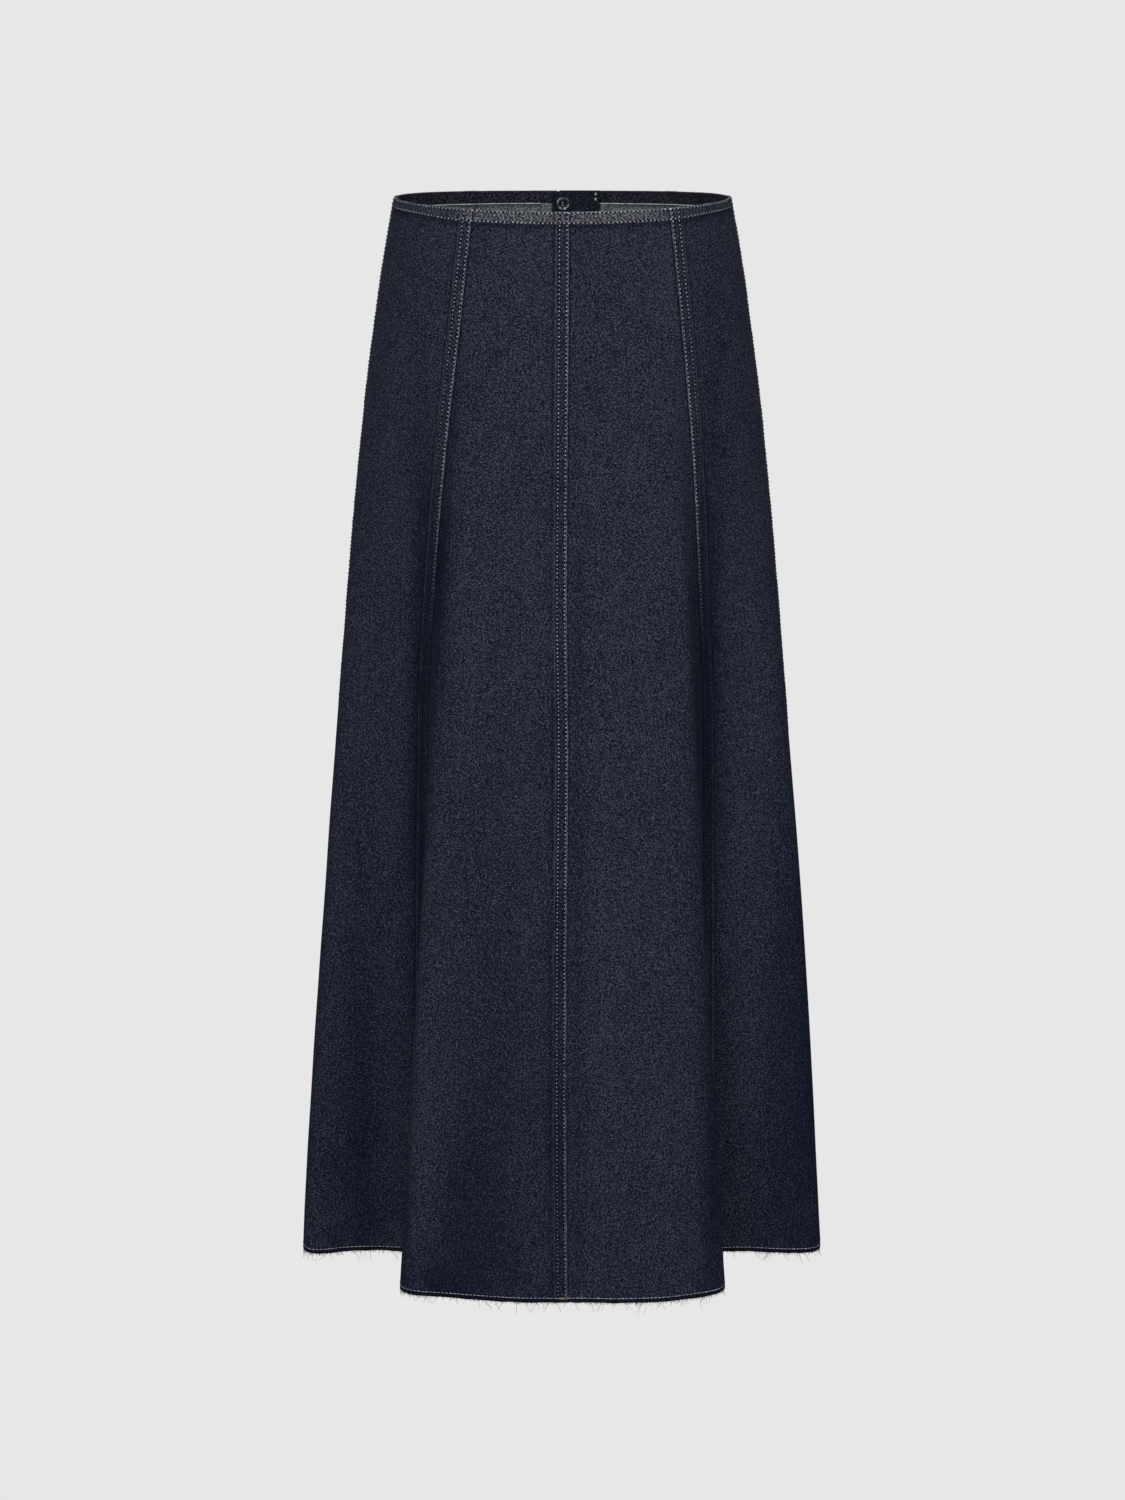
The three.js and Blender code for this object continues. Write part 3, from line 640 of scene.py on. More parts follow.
class Shade:
    """One material and its nodes."""

    def __init__(self, name):
        self.material = bpy.data.materials.new(name)
        self.material.use_nodes = True
        self.tree = self.material.node_tree
        self.tree.nodes.clear()

    def node(self, kind, settings=None, values=None, output=0):
        made = self.tree.nodes.new(kind)
        for key, setting in (settings or {}).items():
            setattr(made, key, setting)
        for key, value in (values or {}).items():
            if isinstance(value, Value):
                self.tree.links.new(value.socket, made.inputs[key])
            else:
                made.inputs[key].default_value = value
        return Value(self, made.outputs[output]) if made.outputs else None

    def attribute(self, name):
        return self.node("ShaderNodeAttribute", {"attribute_name": name}, output="Fac")

    def uv(self):
        return self.node("ShaderNodeUVMap", {"uv_map": "UVMap"})

    def place(self):
        return self.node("ShaderNodeTexCoord", output="Object")

    def scaled(self, vector, x, y, z=1.0):
        values = {0: vector, 1: (x, y, z)}
        return self.node("ShaderNodeVectorMath", {"operation": "MULTIPLY"}, values)

    def parts(self, vector):
        split = self.node("ShaderNodeSeparateXYZ", None, {0: vector})
        outputs = split.socket.node.outputs
        return Value(self, outputs[0]), Value(self, outputs[1]), Value(self, outputs[2])

    def noise(self, vector, scale, detail=2.0, rough=0.5):
        values = {"Vector": vector, "Scale": scale, "Detail": detail, "Roughness": rough}
        return self.node("ShaderNodeTexNoise", None, values)

    def chance(self, first, second):
        """A random number for each pair of whole numbers."""
        pair = self.node("ShaderNodeCombineXYZ", None, {0: first, 1: second})
        return self.node("ShaderNodeTexWhiteNoise", {"noise_dimensions": "2D"}, {"Vector": pair}, "Value")

    def mix(self, share, first, second):
        settings = {"data_type": "RGBA", "clamp_factor": True}
        return self.node("ShaderNodeMix", settings, {0: share, 6: first, 7: second}, output=2)

    def bump(self, height, distance, strength=1.0):
        values = {"Strength": strength, "Distance": distance, "Height": height}
        return self.node("ShaderNodeBump", None, values)

    def finish(self, sockets):
        shader = self.node("ShaderNodeBsdfPrincipled", None, sockets)
        self.node("ShaderNodeOutputMaterial", None, {0: shader})
        return self.material


def rgb(red, green, blue):
    return (red, green, blue, 1.0)


# Near-black that seam threads fade to down the skirt: painted shade
THREAD_SHADE_TONE = rgb(0.02, 0.023, 0.034)
YARN_WIDTH = 0.00052
FLOAT_LENGTH = 0.0011
TWILL_STEP = 0.34


def twill(name, deep, mid, fleck, pale, band=None):
    """Indigo twill: heathered warp, slubs, weft flecks, worn ridges, tone shifted by mottle and by painted
    shade and light, and a near-black mix for painted shade and the dark hem band.
    """
    s = Shade(name)
    uv = s.uv()
    across, down, _ = s.parts(uv)
    heather = s.noise(s.scaled(uv, 620, 820), 1.0, 1.0)
    slub = s.noise(s.scaled(uv, 900, 30), 1.0, 2.0)
    weft = s.noise(s.scaled(uv, 60, 640), 1.0, 1.0)
    cloud = s.noise(s.scaled(uv, 26, 15), 1.0, 3.0)
    over = across * (1 / YARN_WIDTH)
    end = over.maths("FLOOR", over)
    along = down * (1 / FLOAT_LENGTH) + end * TWILL_STEP
    pick = along.maths("FLOOR", along)
    own = s.chance(end, pick)
    other = s.chance(pick, end)
    rounded = ((over - end) * math.pi).wave()
    tip = ((along - pick) * math.pi).wave()
    # Random mottle with painted shade and painted light from the zones shifts the cloth's tone
    mottle_and_shade = s.attribute("mottle_and_painted_shade")
    grain = (heather - 0.5) * 5.2 + (own - 0.5) * 1.9 + (slub - 0.5) * 1.2 + (weft - 0.5) * 0.7
    contrast = (1 + mottle_and_shade * 1.6).limited()
    tone = 0.22 + mottle_and_shade * 1.2 + (cloud - 0.5) * 0.5 + (grain + (rounded - 0.64) * 0.3) * contrast
    colour = s.mix(tone.limited(), deep, mid)
    bits = other.above(0.74, 0.9) * (1 - tip).above(0.1, 0.62) + own.above(0.93, 0.99) * 0.6
    colour = s.mix((bits * heather.above(0.36, 0.6) * contrast).limited() * 0.8, colour, fleck)
    if band:
        wear_and_highlight = s.noise(s.scaled(uv, 540, 600), 1.0, 2.0).above(0.45, 0.6) * other.above(0.0, 0.4)
        colour = s.mix(s.attribute("band") * (0.01 + wear_and_highlight * 0.78), colour, band)
    worn = s.attribute("pale")
    chafed = s.noise(s.scaled(uv, 1100, 480), 1.0, 1.0).above(0.4, 0.62)
    colour = s.mix((worn * (0.12 + chafed * 0.88)).limited(), colour, pale)
    # Near-black mixed in by the dark mask: painted shade at seams, stitch rows and the waist band's row, and
    # the dark hem band
    painted_shade_and_hem_band = s.attribute("dark")
    colour = s.mix((painted_shade_and_hem_band * 0.85).limited(), colour, rgb(0.0035, 0.004, 0.006))
    height = rounded * tip.above(0.0, 0.5) * 0.5 + heather * 0.9 + slub * 0.5
    return s.finish({
        "Base Color": colour,
        "Roughness": 0.92,
        "Specular IOR Level": 0.03,
        "Normal": s.bump(height, 0.00025, 0.6),
    })


def thread(name, dark, light, fade=None):
    """Spun thread. A fade (from depth, to depth, share) darkens it down the skirt towards a painted shade
    colour.
    """
    s = Shade(name)
    place = s.place()
    tone = s.noise(place, 260.0, 1.0).above(0.32, 0.68)
    ply = s.noise(s.scaled(place, 1.0, 1.0, 0.4), 2600.0, 1.0)
    colour = s.mix((tone * 0.8 + (ply - 0.5) * 0.6).limited(), dark, light)
    if fade:
        start, end, share = fade
        down = 0 - s.parts(place)[2]
        colour = s.mix(down.above(start, end) * share, colour, THREAD_SHADE_TONE)
    return s.finish({
        "Base Color": colour,
        "Roughness": 0.7,
        "Specular IOR Level": 0.2,
        "Normal": s.bump(ply, 0.0001, 0.5),
    })


def fray_finish(name):
    """Loose yarns: mostly grey, some still indigo."""
    s = Shade(name)
    tone = s.attribute("tone")
    fine = s.noise(s.place(), 900.0, 1.0)
    colour = s.mix((tone + (fine - 0.5) * 0.3).limited(), rgb(0.02, 0.024, 0.036), rgb(0.34, 0.36, 0.38))
    return s.finish({"Base Color": colour, "Roughness": 0.9, "Specular IOR Level": 0.1})


def aged_metal(name):
    s = Shade(name)
    place = s.place()
    cloud = s.noise(place, 420.0, 3.0)
    scratch = s.noise(s.scaled(place, 1.0, 1.0, 0.12), 3800.0, 2.0)
    colour = s.mix(cloud.above(0.35, 0.7), rgb(0.3, 0.26, 0.2), rgb(0.52, 0.47, 0.4))
    return s.finish({
        "Base Color": colour,
        "Metallic": 1.0,
        "Roughness": 0.26 + scratch * 0.2,
        "Normal": s.bump(scratch, 0.00004, 0.4),
    })


def polished_resin(name):
    s = Shade(name)
    swirl = s.noise(s.place(), 340.0, 4.0)
    colour = s.mix(swirl.above(0.4, 0.72), rgb(0.008, 0.009, 0.012), rgb(0.03, 0.033, 0.042))
    # The rim is painted paler in patches: a painted highlight on the glossy rim
    wear_and_highlight = s.attribute("rim") * (0.12 + s.noise(s.place(), 210.0, 2.0).above(0.49, 0.58) * 0.88)
    colour = s.mix(wear_and_highlight.limited(), colour, rgb(0.26, 0.275, 0.31))
    return s.finish({"Base Color": colour, "Roughness": 0.16, "Coat Weight": 0.5})


def tape_weave(name):
    s = Shade(name)
    uv = s.uv()
    rib = s.node("ShaderNodeTexWave", {"bands_direction": "Y"}, {"Vector": uv, "Scale": 180.0}, output="Fac")
    grain = s.noise(uv, 1900.0, 1.0)
    colour = s.mix((rib * 0.5 + grain * 0.5).limited(), rgb(0.004, 0.0045, 0.007), rgb(0.016, 0.018, 0.026))
    return s.finish({
        "Base Color": colour,
        "Roughness": 0.85,
        "Specular IOR Level": 0.1,
        "Normal": s.bump(rib, 0.0001, 0.5),
    })


DENIM = twill(
    "dark_denim",
    deep=rgb(0.0043, 0.0066, 0.0186),
    mid=rgb(0.0345, 0.0402, 0.0565),
    fleck=rgb(0.13, 0.143, 0.178),
    pale=rgb(0.3, 0.325, 0.4),
    band=rgb(0.2, 0.194, 0.188),
)
DENIM_BACK = twill(
    "denim_wrong_side",
    deep=rgb(0.045, 0.052, 0.061),
    mid=rgb(0.185, 0.206, 0.228),
    fleck=rgb(0.34, 0.35, 0.365),
    pale=rgb(0.2, 0.2, 0.2),
)
FACING = twill(
    "facing_denim",
    deep=rgb(0.0022, 0.0025, 0.0052),
    mid=rgb(0.028, 0.0305, 0.0465),
    fleck=rgb(0.15, 0.155, 0.18),
    pale=rgb(0.12, 0.125, 0.13),
)
GUARD_DENIM = twill(
    "guard_denim",
    deep=rgb(0.0045, 0.006, 0.011),
    mid=rgb(0.02, 0.025, 0.037),
    fleck=rgb(0.05, 0.057, 0.072),
    pale=rgb(0.12, 0.125, 0.13),
)
PALE_SEWING = rgb(0.34, 0.37, 0.46), rgb(0.7, 0.74, 0.86)
SEWING = thread("grey_blue_thread", *PALE_SEWING)
# The front and princess seam threads fade into painted shade down the skirt
FRONT_SEWING = thread("front_seam_thread", *PALE_SEWING, fade=(0.45, 0.85, 0.5))
PRINCESS_SEWING = thread("princess_seam_thread", *PALE_SEWING, fade=(0.2, 0.37, 0.97))
PRINCESS_FAR_SEWING = thread("princess_far_thread", *PALE_SEWING, fade=(0.05, 0.24, 0.97))
HEM_SEWING = thread("grey_thread", rgb(0.2, 0.205, 0.22), rgb(0.46, 0.47, 0.5))
TACK_SEWING = thread("tan_thread", rgb(0.13, 0.105, 0.06), rgb(0.26, 0.21, 0.12))
# Near-black blobs between the stitches: painted shade at the needle holes
HOLE_SHADE = thread("needle_hole_shade", rgb(0.002, 0.0022, 0.0035), rgb(0.005, 0.0055, 0.008))
WHITE_SEWING = thread("pale_thread", rgb(0.5, 0.5, 0.5), rgb(0.8, 0.8, 0.79))
OVERLOCK = thread("grey_overlock_thread", rgb(0.1, 0.108, 0.115), rgb(0.24, 0.25, 0.26))
BINDING_SEWING = thread("pale_grey_thread", rgb(0.38, 0.4, 0.43), rgb(0.66, 0.69, 0.73))
DARK_SEWING = thread("dark_thread", rgb(0.012, 0.013, 0.02), rgb(0.05, 0.053, 0.07))
FRAY = fray_finish("loose_yarn")
METAL = aged_metal("aged_metal")
RESIN = polished_resin("polished_resin")
TAPE = tape_weave("zip_tape_weave")


def cloth_panel(panel):
    """One panel of the cut, as a closed wall over its solid."""
    name, start = panel[:2]
    rows = panel_rows()
    outer, inner, flat = [], [], []
    masks = {"pale": [], "dark": [], "mottle_and_painted_shade": [], "band": []}
    jitter = Waver(40 + start, 1.6, 5)
    for depth in rows:
        distance, width = panel_columns(panel, depth)
        place = surface(start, distance, depth)
        out = outwards(start, distance, depth)
        height, pale, dark = relief(panel, distance, width, depth)
        low = low_form(panel, distance, width, depth)
        rounded = 0.45 * (1 - smooth(0, 0.6, depth)) + 0.35 * (1 - smooth(0, 0.5, LENGTH - depth))
        top = place + out * (height - rounded * CLOTH)[:, None]
        if depth == LENGTH:
            top[:, 2] += 0.35 * jitter(distance, 0)
        outer.append(top)
        inner.append(place + out * (low - CLOTH + 0.5 * rounded * CLOTH)[:, None])
        flat.append(np.stack([distance - width / 2, np.full_like(distance, -depth)], axis=-1))
        masks["pale"].append(pale)
        masks["dark"].append(dark)
        # Tone shift: random mottle plus painted shade and painted light
        masks["mottle_and_painted_shade"].append(mottle_and_painted_shade(panel, distance, depth, place[:, 0]))
        masks["band"].append(band_wear(place[:, 0], depth))
    masks = {key: np.array(values) for key, values in masks.items()}
    outer, inner, flat = np.array(outer), np.array(inner), np.array(flat)
    mesh = wall_mesh("cloth_" + name, outer, inner, flat, masks, DENIM, DENIM_BACK)
    piece = carried(new_object("cloth_" + name, mesh), name)
    cut = sum(panel_width(start, d) for d in np.linspace(0, LENGTH, 40)) / 40 * LENGTH
    return piece, (panel_width(start, LENGTH) * MM, LENGTH * MM), cut * MM * MM


def strip_mesh(name, seam, rows, distances, insets, outside, inside, top=None, height=None):
    """A wall that follows the skirt between two insets from its outer face."""
    outer, inner, flat = [], [], []
    last = rows[-1]
    for depth in rows:
        points = [[], []]
        spread = distances(depth) if callable(distances) else distances
        for distance in spread:
            begin = top(distance) if top else 0
            at = begin + (depth - rows[0]) * (last - begin) / (last - rows[0]) if begin else depth
            raised = height(distance, at) if height else 0
            place, out = surface(seam, distance, at), outwards(seam, distance, at)
            points[0].append(place - out * (insets[0] - raised))
            points[1].append(place - out * insets[1])
        outer.append(points[0])
        inner.append(points[1])
        flat.append([(distance, -depth) for distance in spread])
    outer, inner, flat = np.array(outer), np.array(inner), np.array(flat)
    zero = np.zeros(outer.shape[:2])
    return wall_mesh(name, outer, inner, flat, {"pale": zero, "dark": zero, "mottle_and_painted_shade": zero}, outside, inside)


def strip_piece(name, mesh, flat, node=None):
    """A strip of cloth on the skirt, put on its body with its solid hidden; flat, the size that it was cut
    to, is not used.
    """
    piece = carried(new_object(name, mesh), node)


def stitch_tree(name, material, facets):
    """Stitches along curves: pitch, length and half thickness are inputs."""
    tree = bpy.data.node_groups.new(name, "GeometryNodeTree")
    face = tree.interface
    face.new_socket("Rows", in_out="INPUT", socket_type="NodeSocketGeometry")
    for label in ("Pitch", "Stitch length", "Half thickness"):
        face.new_socket(label, in_out="INPUT", socket_type="NodeSocketFloat")
    face.new_socket("Sewing", in_out="OUTPUT", socket_type="NodeSocketGeometry")

    def node(kind, settings=None, values=None, links=None):
        made = tree.nodes.new(kind)
        for key, setting in (settings or {}).items():
            setattr(made, key, setting)
        for key, value in (values or {}).items():
            made.inputs[key].default_value = value
        for key, socket in (links or {}).items():
            tree.links.new(socket, made.inputs[key])
        return made.outputs

    given = node("NodeGroupInput")
    rows = {"Curve": given["Rows"], "Length": given["Pitch"]}
    points = node("GeometryNodeCurveToPoints", {"mode": "LENGTH"}, links=rows)
    turn = node("FunctionNodeAlignRotationToVector", {"axis": "Z"}, links={"Vector": points["Tangent"]})
    segments, rings = facets
    ball = node("GeometryNodeMeshUVSphere", values={"Segments": segments, "Rings": rings, "Radius": 1.0})
    half_length = node("ShaderNodeMath", {"operation": "MULTIPLY"}, {1: 0.5}, {0: given["Stitch length"]})
    axes = {"X": given["Half thickness"], "Y": given["Half thickness"], "Z": half_length[0]}
    size = node("ShaderNodeCombineXYZ", links=axes)
    uneven = node("FunctionNodeRandomValue", {"data_type": "FLOAT"}, {"Min": 0.82, "Max": 1.12, "Seed": 3})
    grown = node("ShaderNodeVectorMath", {"operation": "SCALE"}, links={0: size[0], "Scale": uneven["Value"]})
    placed = {"Points": points["Points"], "Instance": ball["Mesh"]}
    placed |= {"Rotation": turn["Rotation"], "Scale": grown[0]}
    spread = node("GeometryNodeInstanceOnPoints", links=placed)
    real = node("GeometryNodeRealizeInstances", links={"Geometry": spread["Instances"]})
    bare = {"Geometry": real["Geometry"]}
    dressed = node("GeometryNodeSetMaterial", values={"Material": material}, links=bare)
    node("NodeGroupOutput", links={"Sewing": dressed["Geometry"]})
    return tree


def between_stitches(row, pitch):
    """The same line, half a stitch shorter at each end, so that its points fall between the stitches."""
    row = np.array(row, float)
    lengths = np.concatenate([[0], np.cumsum(np.linalg.norm(np.diff(row, axis=0), axis=1))])
    whole = lengths[-1]
    half = whole / int(whole / pitch) / 2
    kept = lengths[(lengths > half + 0.01) & (lengths < whole - half - 0.01)]
    at = np.concatenate([[half], kept, [whole - half]])
    return np.stack([np.interp(at, lengths, row[:, k]) for k in range(3)], axis=-1)


# Length and thickness of a stitch and of a blob of painted shade at a needle hole, and the facets round and
# along each
STITCH_SIZE, HOLE_SIZE = (1.15, 0.9), (2.5, 1.5)
FACETS, HOLE_FACETS = (6, 4), (5, 3)


def sewn(name, rows, material, pitch=3.5, size=STITCH_SIZE, slot="denim", holes=True, facets=FACETS):
    """Rows of stitches as one mesh, with near-black blobs of painted shade at the needle holes between them
    as another.
    """
    if holes:
        between = [between_stitches(row, pitch) for row in rows]
        sewn(name + "_holes", between, HOLE_SHADE, pitch, HOLE_SIZE, slot, holes=False, facets=HOLE_FACETS)
    curve = bpy.data.curves.new(name + "_rows", "CURVE")
    curve.dimensions = "3D"
    for row in rows:
        spline = curve.splines.new("POLY")
        spline.points.add(len(row) - 1)
        flat = np.concatenate([np.asarray(row) * MM, np.ones((len(row), 1))], axis=1)
        spline.points.foreach_set("co", flat.astype(np.float32).ravel())
    guide = new_object(name + "_rows", curve)
    tree = stitch_tree(name + "_tree", material, facets)
    modifier = guide.modifiers.new("sewing", "NODES")
    modifier.node_group = tree
    sizes = {"Pitch": pitch * MM, "Stitch length": size[0] * MM, "Half thickness": size[1] / 2 * MM}
    for item in tree.interface.items_tree:
        if item.in_out == "INPUT" and item.name in sizes:
            modifier[item.identifier] = sizes[item.name]
    shown = guide.evaluated_get(bpy.context.evaluated_depsgraph_get())
    mesh = bpy.data.meshes.new_from_object(shown)
    mesh.name = name
    mesh.polygons.foreach_set("use_smooth", [True] * len(mesh.polygons))
    bpy.data.objects.remove(guide)
    carried(new_object(name, mesh))


def on_cloth(panel, end, d, depth, lift):
    """A place on the dressed cloth at distance d from one end of a panel."""
    start = panel[1]
    width = panel_width(start, depth)
    distance = np.array([d if end == 0 else width - d])
    height = relief(panel, distance, width, depth)[0]
    return (surface(start, distance, depth) + outwards(start, distance, depth) * (height + lift)[:, None])[0]


STITCH_LIFT = 0.1
ROW_POINT_STEP = 4.0


def seam_stitching():
    """Two rows on the felled strip of each seam, from the top edge to the hem's row."""
    depths = np.arange(1.0, LENGTH - HEM_ROW, ROW_POINT_STEP)
    found = {"front": [], "princess_near": [], "princess_far": [], "side_and_back": []}
    for panel in PANELS:
        for end, felled, seam in seam_sides(panel):
            if not felled:
                continue
            near, far = (
                [on_cloth(panel, end, row + lap(seam, d), d, STITCH_LIFT) for d in depths]
                for row in SEAM_ROWS
            )
            if seam in (SEAM_FRONT_RIGHT, SEAM_FRONT_LEFT):
                found["princess_near"].append(near)
                found["princess_far"].append(far)
            else:
                found["front" if seam == SEAM_FRONT else "side_and_back"] += [near, far]
    return found


def back_seam_stitching():
    """A row beside each edge of the zip, and on down the closed seam below it."""
    depths = np.arange(1.0, LENGTH - HEM_ROW, ROW_POINT_STEP)
    rows = []
    for panel in PANELS:
        for end, _, seam in seam_sides(panel):
            if seam == SEAM_BACK:
                rows.append([on_cloth(panel, end, zip_edge(d) + ZIP_ROW, d, STITCH_LIFT) for d in depths])
    return rows


def level_row(panel, depth_at, trim=0.5):
    """A row across one panel, at the depth that a rule gives for each x."""
    start = panel[1]
    about = float(depth_at(0))
    first, last = edge_at(start, about) + trim, panel_width(start, about) - edge_at(start + 1, about) - trim
    points = []
    for distance in np.linspace(first, last, 60):
        depth = float(depth_at(surface(start, distance, about)[0]))
        points.append(on_cloth(panel, 0, distance, depth, STITCH_LIFT))
    return points


def tube_mesh(name, lines, radii, tones, sides=3):
    """Tapering threads along lines of points, all in one mesh, with a tone for each."""
    points, faces, tone = [], [], []
    turn = np.arange(sides) * 2 * math.pi / sides
    for line, radius, shade in zip(lines, radii, tones):
        line = np.asarray(line, float)
        way = np.gradient(line, axis=0)
        way /= np.linalg.norm(way, axis=1, keepdims=True) + 1e-9
        aside = np.cross(way, (0.31, 0.83, 0.21))
        aside /= np.linalg.norm(aside, axis=1, keepdims=True) + 1e-9
        other = np.cross(way, aside)
        first = len(points)
        count = len(line)
        for k in range(count - 1):
            size = radius * (1 - 0.45 * k / (count - 1))
            for angle in turn:
                points.append(line[k] + size * (math.cos(angle) * aside[k] + math.sin(angle) * other[k]))
        points.append(line[-1])
        tip = len(points) - 1
        for k in range(count - 2):
            for j in range(sides):
                a, b = first + k * sides + j, first + k * sides + (j + 1) % sides
                faces.append((a, b, b + sides, a + sides))
        for j in range(sides):
            a, b = first + (count - 2) * sides + j, first + (count - 2) * sides + (j + 1) % sides
            faces.append((a, b, tip))
        faces.append(tuple(first + j for j in range(sides))[::-1])
        tone.extend([shade] * (len(points) - first))
    mesh = mesh_from(name, np.array(points) * MM, faces)
    attribute = mesh.attributes.new("tone", "FLOAT", "POINT")
    attribute.data.foreach_set("value", np.array(tone, np.float32))
    return mesh


def thread_piece(name, lines, radius, material, sides=5):
    """Threads of one thickness along lines of points, as one piece."""
    same = len(lines)
    piece = new_object(name, tube_mesh(name, lines, [radius] * same, [1] * same, sides))
    piece.data.materials.append(material)
    carried(piece)


def frayed_edge(panel):
    """Short yarn ends all along the raw edge and a few long loose threads, in a strip's place."""
    name, start = panel[:2]
    rng = np.random.default_rng(100 + start)
    width = panel_width(start, LENGTH)
    lines, radii, tones = [], [], []

    def root(distance, drop):
        at = np.array([distance])
        point = surface(start, at, LENGTH)[0]
        out = outwards(start, at, LENGTH)[0]
        out[2] = 0
        out /= np.linalg.norm(out)
        depth_in = CLOTH * rng.uniform(0.2, 0.8)
        along = np.array([-out[1], out[0], 0])
        low = low_form(panel, at, width, LENGTH)[0]
        return point + out * (low - depth_in) + np.array([0, 0, drop]), along, out

    for _ in range(int(width / 0.42)):
        base, along, out = root(rng.uniform(0.2, width - 0.2), 0.5)
        length = rng.uniform(1.0, 3.2) * (1.6 if rng.random() < 0.12 else 1)
        lean, bow = rng.normal(0.15, 0.75), rng.normal(0, 0.3)
        mid = base + np.array([0, 0, -0.55 * length]) + along * lean * 0.3 * length + out * bow * 0.3
        end = base + np.array([0, 0, -length]) + along * lean * 0.55 * length + out * bow * 0.6
        lines.append([base, mid, end])
        radii.append(rng.uniform(0.1, 0.19))
        tones.append(rng.choice([0.05, 0.15, 0.35, 0.9], p=[0.3, 0.25, 0.2, 0.25]))
    for _ in range(int(width / 4.6)):
        base, along, out = root(rng.uniform(1, width - 1), 0.6)
        length = rng.uniform(4, 14) * rng.uniform(0.7, 1)
        curl, lean = rng.normal(0, 0.5), rng.normal(0.2, 0.8)
        phase, turns = rng.uniform(0, 6.28), rng.uniform(0.5, 1.4)
        line = []
        for k in range(8):
            t = k / 7
            sideways = lean * t * length * 0.5 + curl * t * 2.2 * math.sin(phase + turns * t * 6.28)
            outward = 0.8 * curl * t * math.cos(phase + turns * t * 5)
            fall = length * (t - 0.12 * abs(curl) * t * t)
            line.append(base + along * sideways + out * outward + np.array([0, 0, -fall]))
        lines.append(line)
        radii.append(rng.uniform(0.14, 0.22))
        tones.append(rng.uniform(0.05, 0.6))
    piece = new_object("frayed_" + name, tube_mesh("frayed_" + name, lines, radii, tones))
    piece.data.materials.append(FRAY)
    return carried(piece, "fray_" + name)


for panel in PANELS:
    piece, flat_size, flat_area = cloth_panel(panel)
    edge = frayed_edge(panel)

seam_threads = (FRONT_SEWING, PRINCESS_SEWING, PRINCESS_FAR_SEWING, SEWING)
for (word, rows), material in zip(seam_stitching().items(), seam_threads):
    sewn("stitches_" + word, rows, material)
sewn("stitches_zip_and_back_seam", back_seam_stitching(), SEWING)
top_rows = [level_row(p, row) for p in PANELS for row in (lambda x: TOP_ROWS[0], band_row)]
sewn("stitches_top_edge", top_rows, SEWING)
hem_rows = [level_row(p, lambda x: LENGTH - HEM_ROW) for p in PANELS]
sewn("stitches_hem", hem_rows, HEM_SEWING, size=(3.3, 0.7), holes=False)


TACK_RADIUS = 0.3


def hem_tack():
    """A short bar tack across the front seam's strip, on the hem's row."""
    lines = []
    for k in range(4):
        depth = LENGTH - HEM_ROW + 0.45 * (k - 1.5)
        reach = np.linspace(*SEAM_ROWS, 8) + lap(SEAM_FRONT, depth)
        lines.append([on_cloth(PANELS[-1], 1, d, depth, 0.35) for d in reach])
    thread_piece("bar_tack_hem", lines, TACK_RADIUS, TACK_SEWING)


hem_tack()


# Waist facing, turned inside the top edge
FACING_DEPTH = 11.0
FACING_FROM_ZIP = 14.3
FACING_INSETS = (1.6, 2.5)
FACING_COLUMNS = 190
BOUND_EDGE = (11.4, 2.0)


def facing_distances(start_at_front, depth):
    """Lengths along the section from the centre front, on to the zip."""
    seams = section_at(depth)[2]
    if start_at_front:
        return np.linspace(SEAM_GAP, seams[SEAM_BACK] - FACING_FROM_ZIP, FACING_COLUMNS)
    reach = seams[-1] - seams[SEAM_BACK] - FACING_FROM_ZIP
    return np.linspace(-reach, -SEAM_GAP, FACING_COLUMNS)


def facing(name, start_at_front):
    spread = lambda depth: facing_distances(start_at_front, depth)
    rows = (0.1, 0.5, 1.2, 2.4, 4.5, 7, 9, 10.2, 10.8, FACING_DEPTH)
    mesh = strip_mesh("cloth_" + name, SEAM_FRONT, rows, spread, FACING_INSETS, FACING, FACING)
    strip_piece("cloth_" + name, mesh, (np.ptp(spread(0)), FACING_DEPTH), name)
    rows_sewn = []
    for depth, inset in ((1.4, FACING_INSETS[1]), (9.6, FACING_INSETS[1]), BOUND_EDGE):
        at = spread(depth)
        rows_sewn.append(surface(SEAM_FRONT, at, depth) - outwards(SEAM_FRONT, at, depth) * inset)
    return rows_sewn


facing_rows = [facing("facing_right", True), facing("facing_left", False)]
sewn("stitches_facing", [row for rows in facing_rows for row in rows[:2]], DARK_SEWING, slot="facing")
bound_edges = [rows[2] for rows in facing_rows]
sewn("overlock_facing", bound_edges, BINDING_SEWING, pitch=1.7, size=(1.9, 1.5), slot="facing", holes=False)


# Zip: tapes, teeth, stop, slider and pull tab
TEETH_HALF = 2.3
TAPE_WIDTH = 14.0
TAPE_INSETS = (1.6, 2.4)
TEETH_INSETS = (0.5, 2.4)
TEETH_TOP = 18.5
TOOTH_PITCH = 2.5


def back_frame(x, depth, inset):
    """x is +X, y out of the cloth and z up along it, at a place on the back seam."""
    out = outwards(SEAM_BACK, np.array([-x]), depth)[0]
    place = surface(SEAM_BACK, np.array([-x]), depth)[0] - out * inset
    turn = Matrix.Rotation(math.atan2(out[2], out[1]), 4, "X")
    return Matrix.Translation(Vector((x, place[1], place[2]))) @ turn


def tooth_block(half, height, thick):
    """One tooth, wider at its root and with a raised head towards the middle."""
    outline = ((0.1, 0.32), (0.75, 0.5), (1.1, 0.34), (1.7, 0.34), (2.2, 0.5), (half, 0.5))
    points = [(x, share * height) for x, share in outline]
    points += [(x, -share * height) for x, share in reversed(outline)]
    return [(x, side * thick / 2, z) for side in (1, -1) for x, z in points], len(points)


